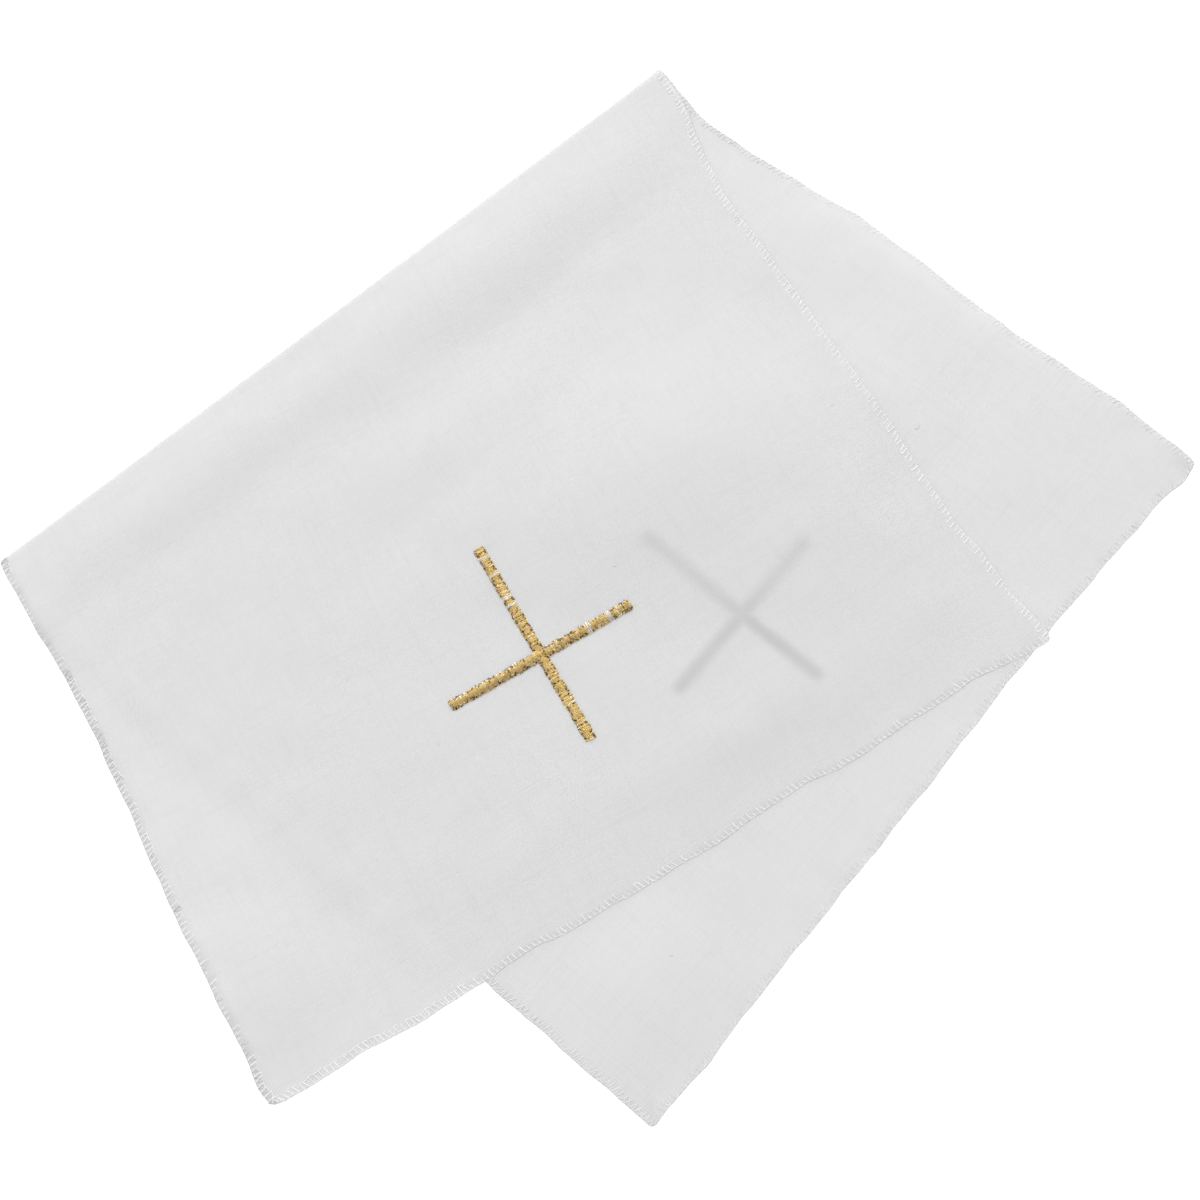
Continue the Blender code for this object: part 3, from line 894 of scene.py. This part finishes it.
@dataclass
class NodeTool:
    """A Geometry Nodes tree under construction, with named inputs for its sizes."""

    name: str
    tree: bpy.types.NodeTree = field(init=False)
    entry: bpy.types.Node = field(init=False)
    values: dict[str, float] = field(default_factory=dict)

    def __post_init__(self) -> None:
        """Makes the empty tree with its geometry input and output."""
        self.tree = bpy.data.node_groups.new(self.name, "GeometryNodeTree")
        for way in ("INPUT", "OUTPUT"):
            self.tree.interface.new_socket("Geometry", in_out=way, socket_type="NodeSocketGeometry")
        self.entry = self.tree.nodes.new("NodeGroupInput")

    def size(self, name: str, value: float) -> bpy.types.NodeSocket:
        """Adds a named input to the tree: a size, or a whole number such as a seed.

        Args:
            name: The input's name.
            value: Its value.

        Returns:
            The socket that gives it inside the tree.
        """
        kind = "NodeSocketInt" if isinstance(value, int) else "NodeSocketFloat"
        self.tree.interface.new_socket(name, in_out="INPUT", socket_type=kind).default_value = value
        self.values[name] = value
        return self.entry.outputs[name]

    def times(self, size: bpy.types.NodeSocket, share: float) -> bpy.types.NodeSocket:
        """A size times a number."""
        return calculate(self.tree, "MULTIPLY", size, share)

    def vector(self, x: object, y: object, z: object) -> bpy.types.NodeSocket:
        """A vector put together from three values or sockets."""
        return add_node(self.tree, "ShaderNodeCombineXYZ", {0: x, 1: y, 2: z}).outputs[0]

    def named(self, name: str, kind: str = "FLOAT_VECTOR") -> bpy.types.NodeSocket:
        """What the geometry holds in an attribute of that name."""
        node = add_node(self.tree, "GeometryNodeInputNamedAttribute", {"Name": name}, data_type=kind)
        return live(node.outputs, "Attribute")

    def random(
        self, low: object, high: object, seed: bpy.types.NodeSocket, turn: int
    ) -> bpy.types.NodeSocket:
        """A random number for each point.

        Args:
            low: The least value, a number or a vector.
            high: The greatest value.
            seed: The tree's own seed.
            turn: Which draw this is, so that no two are alike.

        Returns:
            The socket with the numbers.
        """
        kind = "FLOAT_VECTOR" if isinstance(low, tuple) else "FLOAT"
        inputs = {"Min": low, "Max": high, "Seed": calculate(self.tree, "ADD", seed, turn)}
        node = add_node(self.tree, "FunctionNodeRandomValue", inputs, data_type=kind)
        return live(node.outputs, "Value")

    def strand(self, points: tuple, radius: object, steps: int, sides: int) -> bpy.types.NodeSocket:
        """One thread along a bent line.

        Args:
            points: Where the line starts, the point that it bends towards and where it ends, each as
                three values or sockets.
            radius: The thread's radius.
            steps: Pieces along it.
            sides: Faces round it.

        Returns:
            The socket with the thread's closed tube.
        """
        ends = dict(zip(("Start", "Middle", "End"), (self.vector(*point) for point in points)))
        line = add_node(self.tree, "GeometryNodeCurveQuadraticBezier", {"Resolution": steps, **ends})
        ring = add_node(
            self.tree, "GeometryNodeCurvePrimitiveCircle", {"Resolution": sides, "Radius": radius}
        )
        return add_node(
            self.tree,
            "GeometryNodeCurveToMesh",
            {"Curve": line.outputs[0], "Profile Curve": ring.outputs[0], "Fill Caps": True},
        ).outputs[0]

    def local(self, axis: int) -> bpy.types.NodeSocket:
        """A point's own X, Y or Z, by the axis's number."""
        place = add_node(self.tree, "GeometryNodeInputPosition").outputs[0]
        return add_node(self.tree, "ShaderNodeSeparateXYZ", {0: place}).outputs[axis]

    def store(
        self, geometry: bpy.types.NodeSocket, name: str, value: object, domain: str = "POINT"
    ) -> bpy.types.NodeSocket:
        """Keeps numbers on a geometry for its material.

        Args:
            geometry: The geometry.
            name: The attribute's name.
            value: The numbers, or one for all.
            domain: What holds them, a POINT or an INSTANCE.

        Returns:
            The socket with the geometry.
        """
        return add_node(
            self.tree,
            "GeometryNodeStoreNamedAttribute",
            {"Geometry": geometry, "Name": name, "Value": value},
            data_type="FLOAT",
            domain=domain,
        ).outputs[0]

    def joined(self, *parts: bpy.types.NodeSocket) -> bpy.types.NodeSocket:
        """Several geometries as one."""
        node = self.tree.nodes.new("GeometryNodeJoinGeometry")
        for part in parts:
            self.tree.links.new(part, node.inputs[0])
        return node.outputs[0]

    def points_along(self, spacing: bpy.types.NodeSocket) -> bpy.types.NodeSocket:
        """Points at an even spacing along the lines that the tree is given."""
        line = add_node(self.tree, "GeometryNodeMeshToCurve", {"Mesh": self.entry.outputs["Geometry"]})
        even = add_node(
            self.tree,
            "GeometryNodeResampleCurve",
            {"Curve": line.outputs[0], "Length": spacing},
            mode="LENGTH",
        )
        return add_node(
            self.tree, "GeometryNodeCurveToPoints", {"Curve": even.outputs[0]}, mode="EVALUATED"
        ).outputs["Points"]

    def stand(
        self, points: bpy.types.NodeSocket, shape: bpy.types.NodeSocket, scale: object, twist: object
    ) -> bpy.types.NodeSocket:
        """Stands a shape on every point, with +X along the line and +Z off the cloth's right side.

        Args:
            points: The points.
            shape: The shape.
            scale: How large each one is, along, across and up.
            twist: How far each one turns from its line, as three angles.

        Returns:
            The socket with the instances.
        """
        turned = add_node(
            self.tree,
            "FunctionNodeAxesToRotation",
            {"Primary Axis": self.named("right_side"), "Secondary Axis": self.named("along")},
            primary_axis="Z",
            secondary_axis="X",
        ).outputs[0]
        askew = add_node(
            self.tree,
            "FunctionNodeRotateRotation",
            {"Rotation": turned, "Rotate By": twist},
            rotation_space="LOCAL",
        ).outputs[0]
        return add_node(
            self.tree,
            "GeometryNodeInstanceOnPoints",
            {"Points": points, "Instance": shape, "Rotation": askew, "Scale": scale},
        ).outputs[0]

    def finish(self, instances: bpy.types.NodeSocket, material: bpy.types.Material) -> None:
        """Ends the tree: the instances become one mesh of that material."""
        real = add_node(self.tree, "GeometryNodeRealizeInstances", {0: instances})
        soft = add_node(self.tree, "GeometryNodeSetShadeSmooth", {0: real.outputs[0]})
        dressed = add_node(self.tree, "GeometryNodeSetMaterial", {0: soft.outputs[0], "Material": material})
        add_node(self.tree, "NodeGroupOutput", {0: dressed.outputs[0]})

    def run(self, name: str, guide: bpy.types.Object) -> bpy.types.Object:
        """Runs the tree on a guide and keeps the result as a plain mesh.

        Args:
            name: The new piece's name.
            guide: The object with the lines that the tree follows. It is removed.

        Returns:
            The new piece.
        """
        modifier = guide.modifiers.new(self.name, "NODES")
        modifier.node_group = self.tree
        identifiers = {s.name: s.identifier for s in self.tree.interface.items_tree if s.in_out == "INPUT"}
        for key, value in self.values.items():
            modifier[identifiers[key]] = value
        shown = guide.evaluated_get(bpy.context.evaluated_depsgraph_get())
        data = bpy.data.meshes.new_from_object(shown)
        guide.modifiers.remove(modifier)
        bpy.data.objects.remove(guide)
        return piece(name, data)


def piece(name: str, data: bpy.types.Mesh) -> bpy.types.Object:
    """Puts a finished mesh in the scene under its name, with its faces outwards."""
    data.name = name
    mesh = bmesh.new()
    mesh.from_mesh(data)
    bmesh.ops.recalc_face_normals(mesh, faces=mesh.faces)
    mesh.to_mesh(data)
    mesh.free()
    item = bpy.data.objects.new(name, data)
    bpy.context.scene.collection.objects.link(item)
    return item


def guide_lines(name: str, lines: list[dict[str, np.ndarray]], closed: bool) -> bpy.types.Object:
    """An object that holds lines for a node tree to follow.

    Args:
        name: The object's name.
        lines: For each line its "place" rows, and other rows or values that become attributes.
        closed: True if every line ends where it starts.

    Returns:
        The object.
    """
    edges, first = [], 0
    for line in lines:
        count = len(line["place"])
        edges += [(first + i, first + (i + 1) % count) for i in range(count if closed else count - 1)]
        first += count
    data = bpy.data.meshes.new(name)
    data.from_pydata(np.concatenate([line["place"] for line in lines]).tolist(), edges, [])
    for key in lines[0]:
        if key == "place":
            continue
        values = np.concatenate([line[key] for line in lines]).astype(np.float32)
        kind, slot = ("FLOAT_VECTOR", "vector") if values.ndim > 1 else ("FLOAT", "value")
        data.attributes.new(key, kind, "POINT").data.foreach_set(slot, values.ravel())
    item = bpy.data.objects.new(name, data)
    bpy.context.scene.collection.objects.link(item)
    return item


@dataclass
class LinenCloth:
    """The cloth itself: one thin closed sheet, folded once, with a fine grid that follows fold and hem."""

    shape: FoldedShape
    rim_share: float = 0.3
    rim_reach: float = 1.7 * MM
    near_edge: tuple[float, ...] = (
        0.0, 0.45 * MM, 1.0 * MM, 1.75 * MM, 2.6 * MM, 3.5 * MM, 4.7 * MM, 6.3 * MM, 8.2 * MM, 10 * MM,
    )
    field_step: float = 2.5 * MM
    loop_rows: int = 10

    def columns(self) -> np.ndarray:
        """Places of the grid's columns across the flat cloth."""
        edge, width = np.array(self.near_edge), self.shape.width
        count = round((width - 2 * edge[-1]) / self.field_step)
        middle = np.linspace(edge[-1], width - edge[-1], count + 1)[1:-1]
        return np.concatenate([edge, middle, width - edge[::-1]])

    def rows(self, u: np.ndarray) -> np.ndarray:
        """Places of the grid's rows along the flat cloth, at each column.

        Args:
            u: Places of the columns.

        Returns:
            One line of v values for each row. The rows lie along the hems at the ends and along the
            slanted fold in the middle.
        """
        shape, edge = self.shape, np.array(self.near_edge)
        fold = shape.fold_left + (shape.fold_right - shape.fold_left) * u / shape.width
        loop = np.linspace(-1, 1, self.loop_rows + 1) * shape.loop_reach
        beside = np.array([2.1, 3.1, 4.5, 6.4, 8.2]) * MM
        offsets = np.concatenate([-beside[::-1], loop, beside]) / math.cos(shape.fold_angle)
        near, far = fold + offsets[0], fold + offsets[-1]
        below = round((shape.fold_left - 2 * edge[-1]) / self.field_step)
        above = round((shape.length - shape.fold_right) / self.field_step)
        upper = [edge[-1] + (near - edge[-1]) * i / below for i in range(1, below)]
        lower = [far + (shape.length - edge[-1] - far) * i / above for i in range(1, above)]
        hem = [np.full_like(u, e) for e in edge]
        far_hem = [np.full_like(u, shape.length - e) for e in edge[::-1]]
        return np.array(hem + upper + [fold + o for o in offsets] + lower + far_hem)

    def build(self, material: bpy.types.Material) -> bpy.types.Object:
        """Makes the piece.

        Args:
            material: The cloth's finish.

        Returns:
            The closed sheet, with the flat cut as its UV map.
        """
        columns = self.columns()
        v = self.rows(columns)
        rows, across = v.shape
        u = np.broadcast_to(columns, v.shape)
        u, v = self.shape.rounded(u.ravel(), v.ravel())
        inside = np.minimum(np.minimum(u, self.shape.width - u), np.minimum(v, self.shape.length - v))
        share = self.rim_share + (1 - self.rim_share) * smooth(inside / self.rim_reach)
        half = self.shape.thick / 2 * share
        places = np.concatenate([self.shape.place(u, v, half), self.shape.place(u, v, -half)])
        index = np.arange(rows * across).reshape(rows, across)
        quads = np.stack([index[:-1, :-1], index[:-1, 1:], index[1:, 1:], index[1:, :-1]], axis=-1)
        quads = quads.reshape(-1, 4)
        rim = np.concatenate([index[0, :-1], index[:-1, -1], index[-1, :0:-1], index[:0:-1, 0]])
        following = np.roll(rim, -1)
        under = rows * across
        sides = np.stack([rim, rim + under, following + under, following], axis=-1)
        faces = np.concatenate([quads, quads[:, ::-1] + under, sides])
        data = bpy.data.meshes.new("linen_cloth")
        data.from_pydata(places.tolist(), [], faces.tolist())
        flat = np.concatenate([np.stack([u, v], axis=-1)] * 2)
        corners = np.zeros(len(data.loops), dtype=np.int32)
        data.loops.foreach_get("vertex_index", corners)
        data.uv_layers.new(name="flat_cut").data.foreach_set("uv", flat[corners].astype(np.float32).ravel())
        data.materials.append(material)
        data.shade_smooth()
        return piece("linen_cloth", data)


@dataclass
class OverlockEdge:
    """The overlocking: looper threads over and under the cut edge, a chain along it and a needle thread."""

    shape: FoldedShape
    pitch: float = 1.85 * MM
    band: float = 2.7 * MM
    thread: float = 0.11 * MM
    lift: float = 0.19 * MM
    faint: float = 0.3
    painted_rim_shade: float = 0.45
    lowest: float = 0.04 * MM
    seed: int = 5
    guide_step: float = 0.5 * MM

    def outline(self) -> tuple[np.ndarray, np.ndarray]:
        """The cut edge of the flat cloth as (places, outward directions), once round."""
        shape = self.shape
        radius, places, outward = shape.corner_radius, [], []
        corners = ((0, 0, 180), (1, 0, 270), (1, 1, 0), (0, 1, 90))
        steps = math.ceil(radius * math.pi / 2 / self.guide_step)
        for k, (right, far, start) in enumerate(corners):
            centre = np.array([
                shape.width - radius if right else radius,
                shape.length - radius if far else radius,
            ])
            for i in range(steps + 1):
                angle = math.radians(start + 90 * i / steps)
                way = np.array([math.cos(angle), math.sin(angle)])
                places.append(centre + radius * way)
                outward.append(way)
            straight = (shape.width if k % 2 == 0 else shape.length) - 2 * radius
            ahead = np.array([-outward[-1][1], outward[-1][0]])
            count = math.ceil(straight / self.guide_step)
            for _ in range(1, count):
                places.append(places[-1] + ahead * straight / count)
                outward.append(outward[-1])
        return np.array(places), np.array(outward)

    def guide(self) -> bpy.types.Object:
        """The folded cut edge as a line with the ways that the stitches face."""
        flat, outward = self.outline()
        place = self.shape.place(flat[:, 0], flat[:, 1], 0.0)
        inner = flat - outward * 0.5 * MM
        away = unit(place - self.shape.place(inner[:, 0], inner[:, 1], 0.0))
        right_side = self.shape.right_side(flat[:, 0], flat[:, 1])
        along = unit(np.cross(away, right_side))
        upper_left = (flat[:, 0] < self.shape.corner_radius) & (flat[:, 1] < self.shape.fold_left)
        vivid = np.where(upper_left, 1.0, self.faint)
        line = {"place": place, "right_side": right_side, "along": along, "vivid": vivid}
        return guide_lines("edge_guide", [line], closed=True)

    def build(self, material: bpy.types.Material) -> bpy.types.Object:
        """Makes the piece.

        Args:
            material: The thread's finish.

        Returns:
            The stitches all round the cloth.
        """
        tool = NodeTool("overlock_stitches")
        pitch, band = tool.size("Pitch", self.pitch), tool.size("Band", self.band)
        thread, lift = tool.size("Thread Radius", self.thread), tool.size("Lift", self.lift)
        seed = tool.size("Seed", self.seed)
        half = tool.times(pitch, 0.5)
        back = tool.times(half, -1.0)
        # In a stitch's own frame +X runs along the edge, +Y off it and +Z off the right side. The cut
        # edge is at Y = 0
        needle, middle, beyond = tool.times(band, -1.0), tool.times(band, -0.5), tool.times(band, 0.84)
        under = tool.times(lift, -1.0)
        # The upper looper's thread goes out to the rim as a full strand and comes back flat
        rim, turning, low = tool.times(band, -0.09), tool.times(pitch, -0.12), tool.times(lift, 0.35)
        at_rim = (turning, rim, low)
        upper = tool.strand(
            ((tool.times(half, 0.66), needle, lift), (tool.times(half, 0.3), middle, lift), at_rim),
            tool.times(thread, 1.35), 5, 5,
        )
        flat = tool.times(lift, 0.8)
        coming_back = tool.strand(
            (at_rim, (back, middle, flat), (back, needle, flat)), tool.times(thread, 0.7), 4, 4
        )
        outermost = (tool.times(pitch, -0.55), beyond, tool.times(under, 0.4))
        lower = tool.strand(((back, needle, under), outermost, (half, needle, under)), thread, 5, 4)
        chain = tool.strand(
            (
                (tool.times(back, 1.1), rim, 0.0),
                (0.0, tool.times(band, -0.04), low),
                (tool.times(half, 1.1), rim, 0.0),
            ),
            thread, 4, 4,
        )
        sunk = tool.times(lift, 0.4)
        seam = tool.strand(
            (
                (tool.times(back, 0.8), needle, sunk),
                (0.0, needle, tool.times(lift, 1.3)),
                (tool.times(half, 0.8), needle, sunk),
            ),
            thread, 3, 4,
        )
        # Painted shade: the threads lose their brightness towards the rim, and those on the wrong side have
        # none
        tree = tool.tree
        from_needle = calculate(tree, "DIVIDE", calculate(tree, "SUBTRACT", tool.local(1), needle), band)
        bright = tool.store(tool.joined(upper, seam), "painted_thread_shade", tool.times(from_needle, self.painted_rim_shade))
        plain = tool.store(tool.joined(coming_back, lower, chain), "painted_thread_shade", 1.0)
        stitch = tool.joined(bright, plain)
        size = tool.random((0.86, 0.86, 0.85), (1.12, 1.1, 1.2), seed, 1)
        twist = tool.random((-0.05, -0.04, -0.16), (0.05, 0.04, 0.16), seed, 2)
        spin = add_node(tree, "FunctionNodeEulerToRotation", {0: twist}).outputs[0]
        stood = tool.stand(tool.points_along(pitch), stitch, size, spin)
        toned = tool.store(stood, "thread_tone", tool.random(0.0, 1.0, seed, 3), "INSTANCE")
        tool.finish(toned, material)
        item = tool.run("overlock_stitches", self.guide())
        # Threads round the fold's ends are pressed flat by the table
        for corner in item.data.vertices:
            corner.co.z = max(corner.co.z, self.lowest)
        return item


@dataclass(frozen=True)
class Nep:
    """A knot of tangled fibre in the yarn: its place on the flat cloth, its side, size and bearing."""

    u_mm: float
    v_mm: float
    side: Side
    length_mm: float
    width_mm: float
    bearing_deg: float


@dataclass
class YarnNeps:
    """The few small knots of fibre that show on the cloth."""

    shape: FoldedShape
    rise: float = 0.05 * MM
    neps: tuple[Nep, ...] = (
        Nep(101.7, 75.8, Side.RIGHT, 1.3, 0.7, 60),
        Nep(184.8, 99.8, Side.RIGHT, 1.5, 1.1, 10),
        Nep(283.7, 112.8, Side.RIGHT, 1.4, 0.8, 35),
        Nep(245.8, 428.0, Side.WRONG, 2.2, 1.5, 20),
        Nep(47.4, 480.1, Side.WRONG, 1.4, 0.7, 75),
    )

    def build(self, material: bpy.types.Material) -> bpy.types.Object:
        """Makes the piece.

        Args:
            material: The finish of the fibre.

        Returns:
            The knots, each a flat round lump half sunk in the cloth.
        """
        lump = bmesh.new()
        bmesh.ops.create_icosphere(lump, subdivisions=2, radius=1.0)
        ball = np.array([corner.co for corner in lump.verts])
        faces = np.array([[corner.index for corner in face.verts] for face in lump.faces])
        lump.free()
        places = []
        for nep in self.neps:
            bearing = math.radians(nep.bearing_deg)
            along, across = ball[:, 0] * nep.length_mm * MM / 2, ball[:, 1] * nep.width_mm * MM / 2
            u = nep.u_mm * MM + along * math.cos(bearing) - across * math.sin(bearing)
            v = nep.v_mm * MM + along * math.sin(bearing) + across * math.cos(bearing)
            rise = nep.side.value * (self.shape.thick / 2 + ball[:, 2] * self.rise)
            places.append(self.shape.place(u, v, rise))
        data = bpy.data.meshes.new("yarn_neps")
        every = np.concatenate([faces + len(ball) * i for i in range(len(self.neps))])
        data.from_pydata(np.concatenate(places).tolist(), [], every.tolist())
        data.materials.append(material)
        data.shade_smooth()
        return piece("yarn_neps", data)


@dataclass(frozen=True)
class ThinPlace:
    """A place along a bar of satin stitch where the stitches are thin."""

    station_mm: float
    length_mm: float


@dataclass
class SatinCross:
    """A cross of satin stitch: gold threads side by side across a post and a beam."""

    name: str
    shape: FoldedShape
    layout: CrossLayout
    pitch: float = 0.44 * MM
    thread: float = 0.2 * MM
    drawn_in: float = 0.93
    end_round: float = 0.9 * MM
    crown: float = 0.36 * MM
    seed: int = 3
    guide_step: float = 0.5 * MM
    thin_on_post: tuple[ThinPlace, ...] = ()
    thin_on_beam: tuple[ThinPlace, ...] = ()

    def run_of_guide(
        self, start: np.ndarray, end: np.ndarray, rise: float, thin: tuple[ThinPlace, ...], phase: float
    ) -> dict[str, np.ndarray]:
        """The middle line of one bar, on the cloth's right side.

        Args:
            start: Flat place of its start.
            end: Flat place of its end.
            rise: Height above the cloth's surface.
            thin: Its thin places, by their stations from the start.
            phase: Shifts the unevenness of its width.

        Returns:
            The line's places and attributes.
        """
        length = float(np.linalg.norm(end - start))
        station = np.linspace(0, length, math.ceil(length / self.guide_step) + 1)
        way = (end - start) / length
        flat = start + station[:, None] * way
        u, v = flat[:, 0], flat[:, 1]
        height = self.shape.thick / 2 + rise
        place = self.shape.place(u, v, height)
        right_side = self.shape.right_side(u, v)
        ahead = self.shape.place(u + way[0] * 0.5 * MM, v + way[1] * 0.5 * MM, height)
        thinness = np.zeros_like(station)
        for spot in thin:
            inside = 1 - np.abs(station - spot.station_mm * MM) / (spot.length_mm * MM / 2)
            thinness = np.maximum(thinness, smooth(inside * 2.5))
        uneven = 1 + 0.035 * np.sin(station / (2.3 * MM) + phase)
        uneven = uneven + 0.03 * np.sin(station / (0.9 * MM) + 2 * phase)
        from_end = np.minimum(station, length - station)
        uneven = uneven * (0.88 + 0.12 * smooth(from_end / self.end_round))
        return {
            "place": place,
            "right_side": right_side,
            "along": unit(ahead - place),
            "bar_width": self.layout.bar * self.drawn_in * uneven,
            "thin_place": thinness,
        }

    def guide(self) -> bpy.types.Object:
        """The middle lines of the post and the beam, the beam lying over the post."""
        cross = self.layout
        middle = np.array([cross.middle_u, cross.middle_v])
        inset = self.thread
        foot = middle - np.array([0, cross.foot - inset]) * cross.head_sign
        head = middle + np.array([0, cross.head - inset]) * cross.head_sign
        left = middle - np.array([cross.arm - inset, 0])
        right = middle + np.array([cross.arm - inset, 0])
        post = self.run_of_guide(foot, head, 0.0, self.thin_on_post, 0.4)
        beam = self.run_of_guide(left, right, 0.12 * MM, self.thin_on_beam, 2.2)
        return guide_lines("cross_guide", [post, beam], closed=False)

    def build(self, material: bpy.types.Material) -> bpy.types.Object:
        """Makes the piece.

        Args:
            material: The thread's finish.

        Returns:
            The cross's threads.
        """
        tool = NodeTool(f"satin_stitch_{self.name}")
        pitch, thread = tool.size("Pitch", self.pitch), tool.size("Thread Radius", self.thread)
        crown, seed = tool.size("Crown", self.crown), tool.size("Seed", self.seed)
        bar, tree = tool.size("Bar", self.layout.bar), tool.tree
        # One thread over a bar of even width: each copy is then scaled to the bar's width where it lies
        bent = (
            (0.0, tool.times(bar, -0.5), 0.0),
            (0.0, 0.0, tool.times(crown, 2.0)),
            (0.0, tool.times(bar, 0.5), 0.0),
        )
        off_middle = calculate(tree, "DIVIDE", calculate(tree, "ABSOLUTE", tool.local(1)), bar)
        down = add_node(
            tree, "ShaderNodeMapRange", {"Value": off_middle, "From Min": 0.22, "From Max": 0.46}
        ).outputs[0]
        thread_over = tool.store(tool.strand(bent, thread, 8, 5), "turned_down", down)
        points = tool.points_along(pitch)
        slack = tool.random(0.9, 1.09, seed, 1)
        width = calculate(tree, "MULTIPLY", tool.named("bar_width", "FLOAT"), slack)
        twist = tool.random((-0.05, -0.02, -0.07), (0.05, 0.02, 0.07), seed, 2)
        spin = add_node(tree, "FunctionNodeEulerToRotation", {0: twist}).outputs[0]
        share = calculate(tree, "DIVIDE", width, bar)
        size = tool.vector(1.0, share, tool.random(0.8, 1.15, seed, 4))
        stood = tool.stand(points, thread_over, size, spin)
        toned = tool.store(stood, "thread_tone", tool.random(0.0, 1.0, seed, 3), "INSTANCE")
        tool.finish(toned, material)
        return tool.run(self.name, self.guide())


@dataclass
class Studio:
    """The floor, the soft light and the camera."""

    shape: FoldedShape
    floor_half: float = 6.0
    floor_colour: str = "#F6F6F6"
    sky: float = 0.68
    key_place: tuple[float, float, float] = (0.55, 2.3, 1.8)
    key_power: float = 97.0
    key_size: float = 3.2
    overhead_place: tuple[float, float, float] = (0.0, 0.0, 2.2)
    overhead_power: float = 50.0
    overhead_size: float = 2.0
    lens: float = 54.79
    eye: tuple[float, float, float] = (94.8 * MM, -76.8 * MM, 605.9 * MM)
    right_axis: tuple[float, float, float] = (0.86437134, -0.50214795, -0.02663886)
    down_axis: tuple[float, float, float] = (-0.48686954, -0.82246925, -0.29411288)
    ahead_axis: tuple[float, float, float] = (0.12577854, 0.26719239, -0.95539939)

    def floor(self) -> bpy.types.Object:
        """The plain pale surface that the cloth lies on."""
        half = self.floor_half
        data = bpy.data.meshes.new("floor")
        corners = [(-half, -half, 0), (half, -half, 0), (half, half, 0), (-half, half, 0)]
        data.from_pydata(corners, [], [(0, 1, 2, 3)])
        material, tree, shader = new_material("matt_pale_board")
        colour = linear(self.floor_colour)
        feed(tree, shader, {"Base Color": colour, "Roughness": 0.9, "Specular IOR Level": 0.1})
        data.materials.append(material)
        item = bpy.data.objects.new("floor", data)
        bpy.context.scene.collection.objects.link(item)
        return item

    def lamp(
        self, name: str, place: tuple[float, float, float], size: float, power: float
    ) -> bpy.types.Object:
        """Hangs a wide soft lamp that is aimed at the middle of the cloth.

        Args:
            name: Its name.
            place: Where it hangs.
            size: Length of its sides.
            power: Its power in watts.

        Returns:
            The lamp.
        """
        data = bpy.data.lights.new(name, "AREA")
        data.shape = "SQUARE"
        data.size = size
        data.energy = power
        item = bpy.data.objects.new(name, data)
        item.location = place
        item.rotation_euler = (-item.location).to_track_quat("-Z", "Y").to_euler()
        bpy.context.scene.collection.objects.link(item)
        return item

    def light(self, floor: bpy.types.Object) -> None:
        """An even pale sky, a wide lamp on the fold's side, and one overhead that keeps the floor white.

        Args:
            floor: The floor, which alone takes the overhead lamp's light.
        """
        world = bpy.data.worlds.new("soft_tent")
        bpy.context.scene.world = world
        world.use_nodes = True
        background = world.node_tree.nodes["Background"]
        background.inputs["Color"].default_value = (1, 1, 1, 1)
        background.inputs["Strength"].default_value = self.sky
        self.lamp("wide_soft_lamp", self.key_place, self.key_size, self.key_power)
        overhead = self.lamp(
            "overhead_floor_lamp", self.overhead_place, self.overhead_size, self.overhead_power
        )
        lit = bpy.data.collections.new("lit_from_overhead")
        lit.objects.link(floor)
        overhead.light_linking.receiver_collection = lit

    def camera(self) -> None:
        """The camera at the picture's place and angle."""
        right, down, ahead = Vector(self.right_axis), Vector(self.down_axis), Vector(self.ahead_axis)
        shift = self.shape.frame_shift()
        turn = Matrix((right, -down, -ahead)).transposed().to_4x4()
        data = bpy.data.cameras.new("camera")
        data.lens = self.lens
        data.sensor_width = 36
        data.clip_start = 0.01
        item = bpy.data.objects.new("camera", data)
        place = Vector((self.eye[0] + shift[0], self.eye[1] + shift[1], self.eye[2]))
        item.matrix_world = Matrix.Translation(place) @ turn
        bpy.context.scene.collection.objects.link(item)
        bpy.context.scene.camera = item

    def build(self) -> None:
        """Makes the floor, the light and the camera, and sets the plain view of the colours."""
        floor = self.floor()
        self.light(floor)
        self.camera()
        bpy.context.scene.view_settings.view_transform = "Standard"


def report(item: bpy.types.Object) -> None:
    """Logs a piece's name and how many triangles it has."""
    item.data.calc_loop_triangles()
    log.info("%s: %d triangles", item.name, len(item.data.loop_triangles))


def main() -> None:
    """Builds every piece, dresses it and hides the solid that it stands for."""
    logging.basicConfig(level=logging.INFO, format="%(message)s")
    shape = FoldedShape()
    Studio(shape).build()
    linen = LinenFinish().build(shape)
    white = OverlockThreadFinish().build()
    gold = GoldThreadFinish().build()

    cloth = LinenCloth(shape).build(linen)
    overlock = OverlockEdge(shape).build(white)
    cross_top = SatinCross(
        "gold_cross_top",
        shape,
        shape.cross_top,
        thin_on_post=(ThinPlace(4.3, 1.0), ThinPlace(11.1, 1.0), ThinPlace(20.3, 1.6), ThinPlace(23.8, 1.2)),
        thin_on_beam=(ThinPlace(54.4, 1.6), ThinPlace(62.5, 2.0)),
    ).build(gold)
    cross_under = SatinCross("gold_cross_under", shape, shape.cross_under, seed=8).build(gold)
    neps = YarnNeps(shape).build(NepFinish().build())

    for item, node, slot in (
        (cloth, "cloth", "linen"),
        (overlock, None, "linen"),
        (neps, None, "linen"),
        (cross_top, "cross_top", "gold_thread"),
        (cross_under, "cross_under", "gold_thread"),
    ):
        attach(item, "root")
        if node:
            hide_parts(node)
        report(item)


if __name__ == "__main__":
    main()
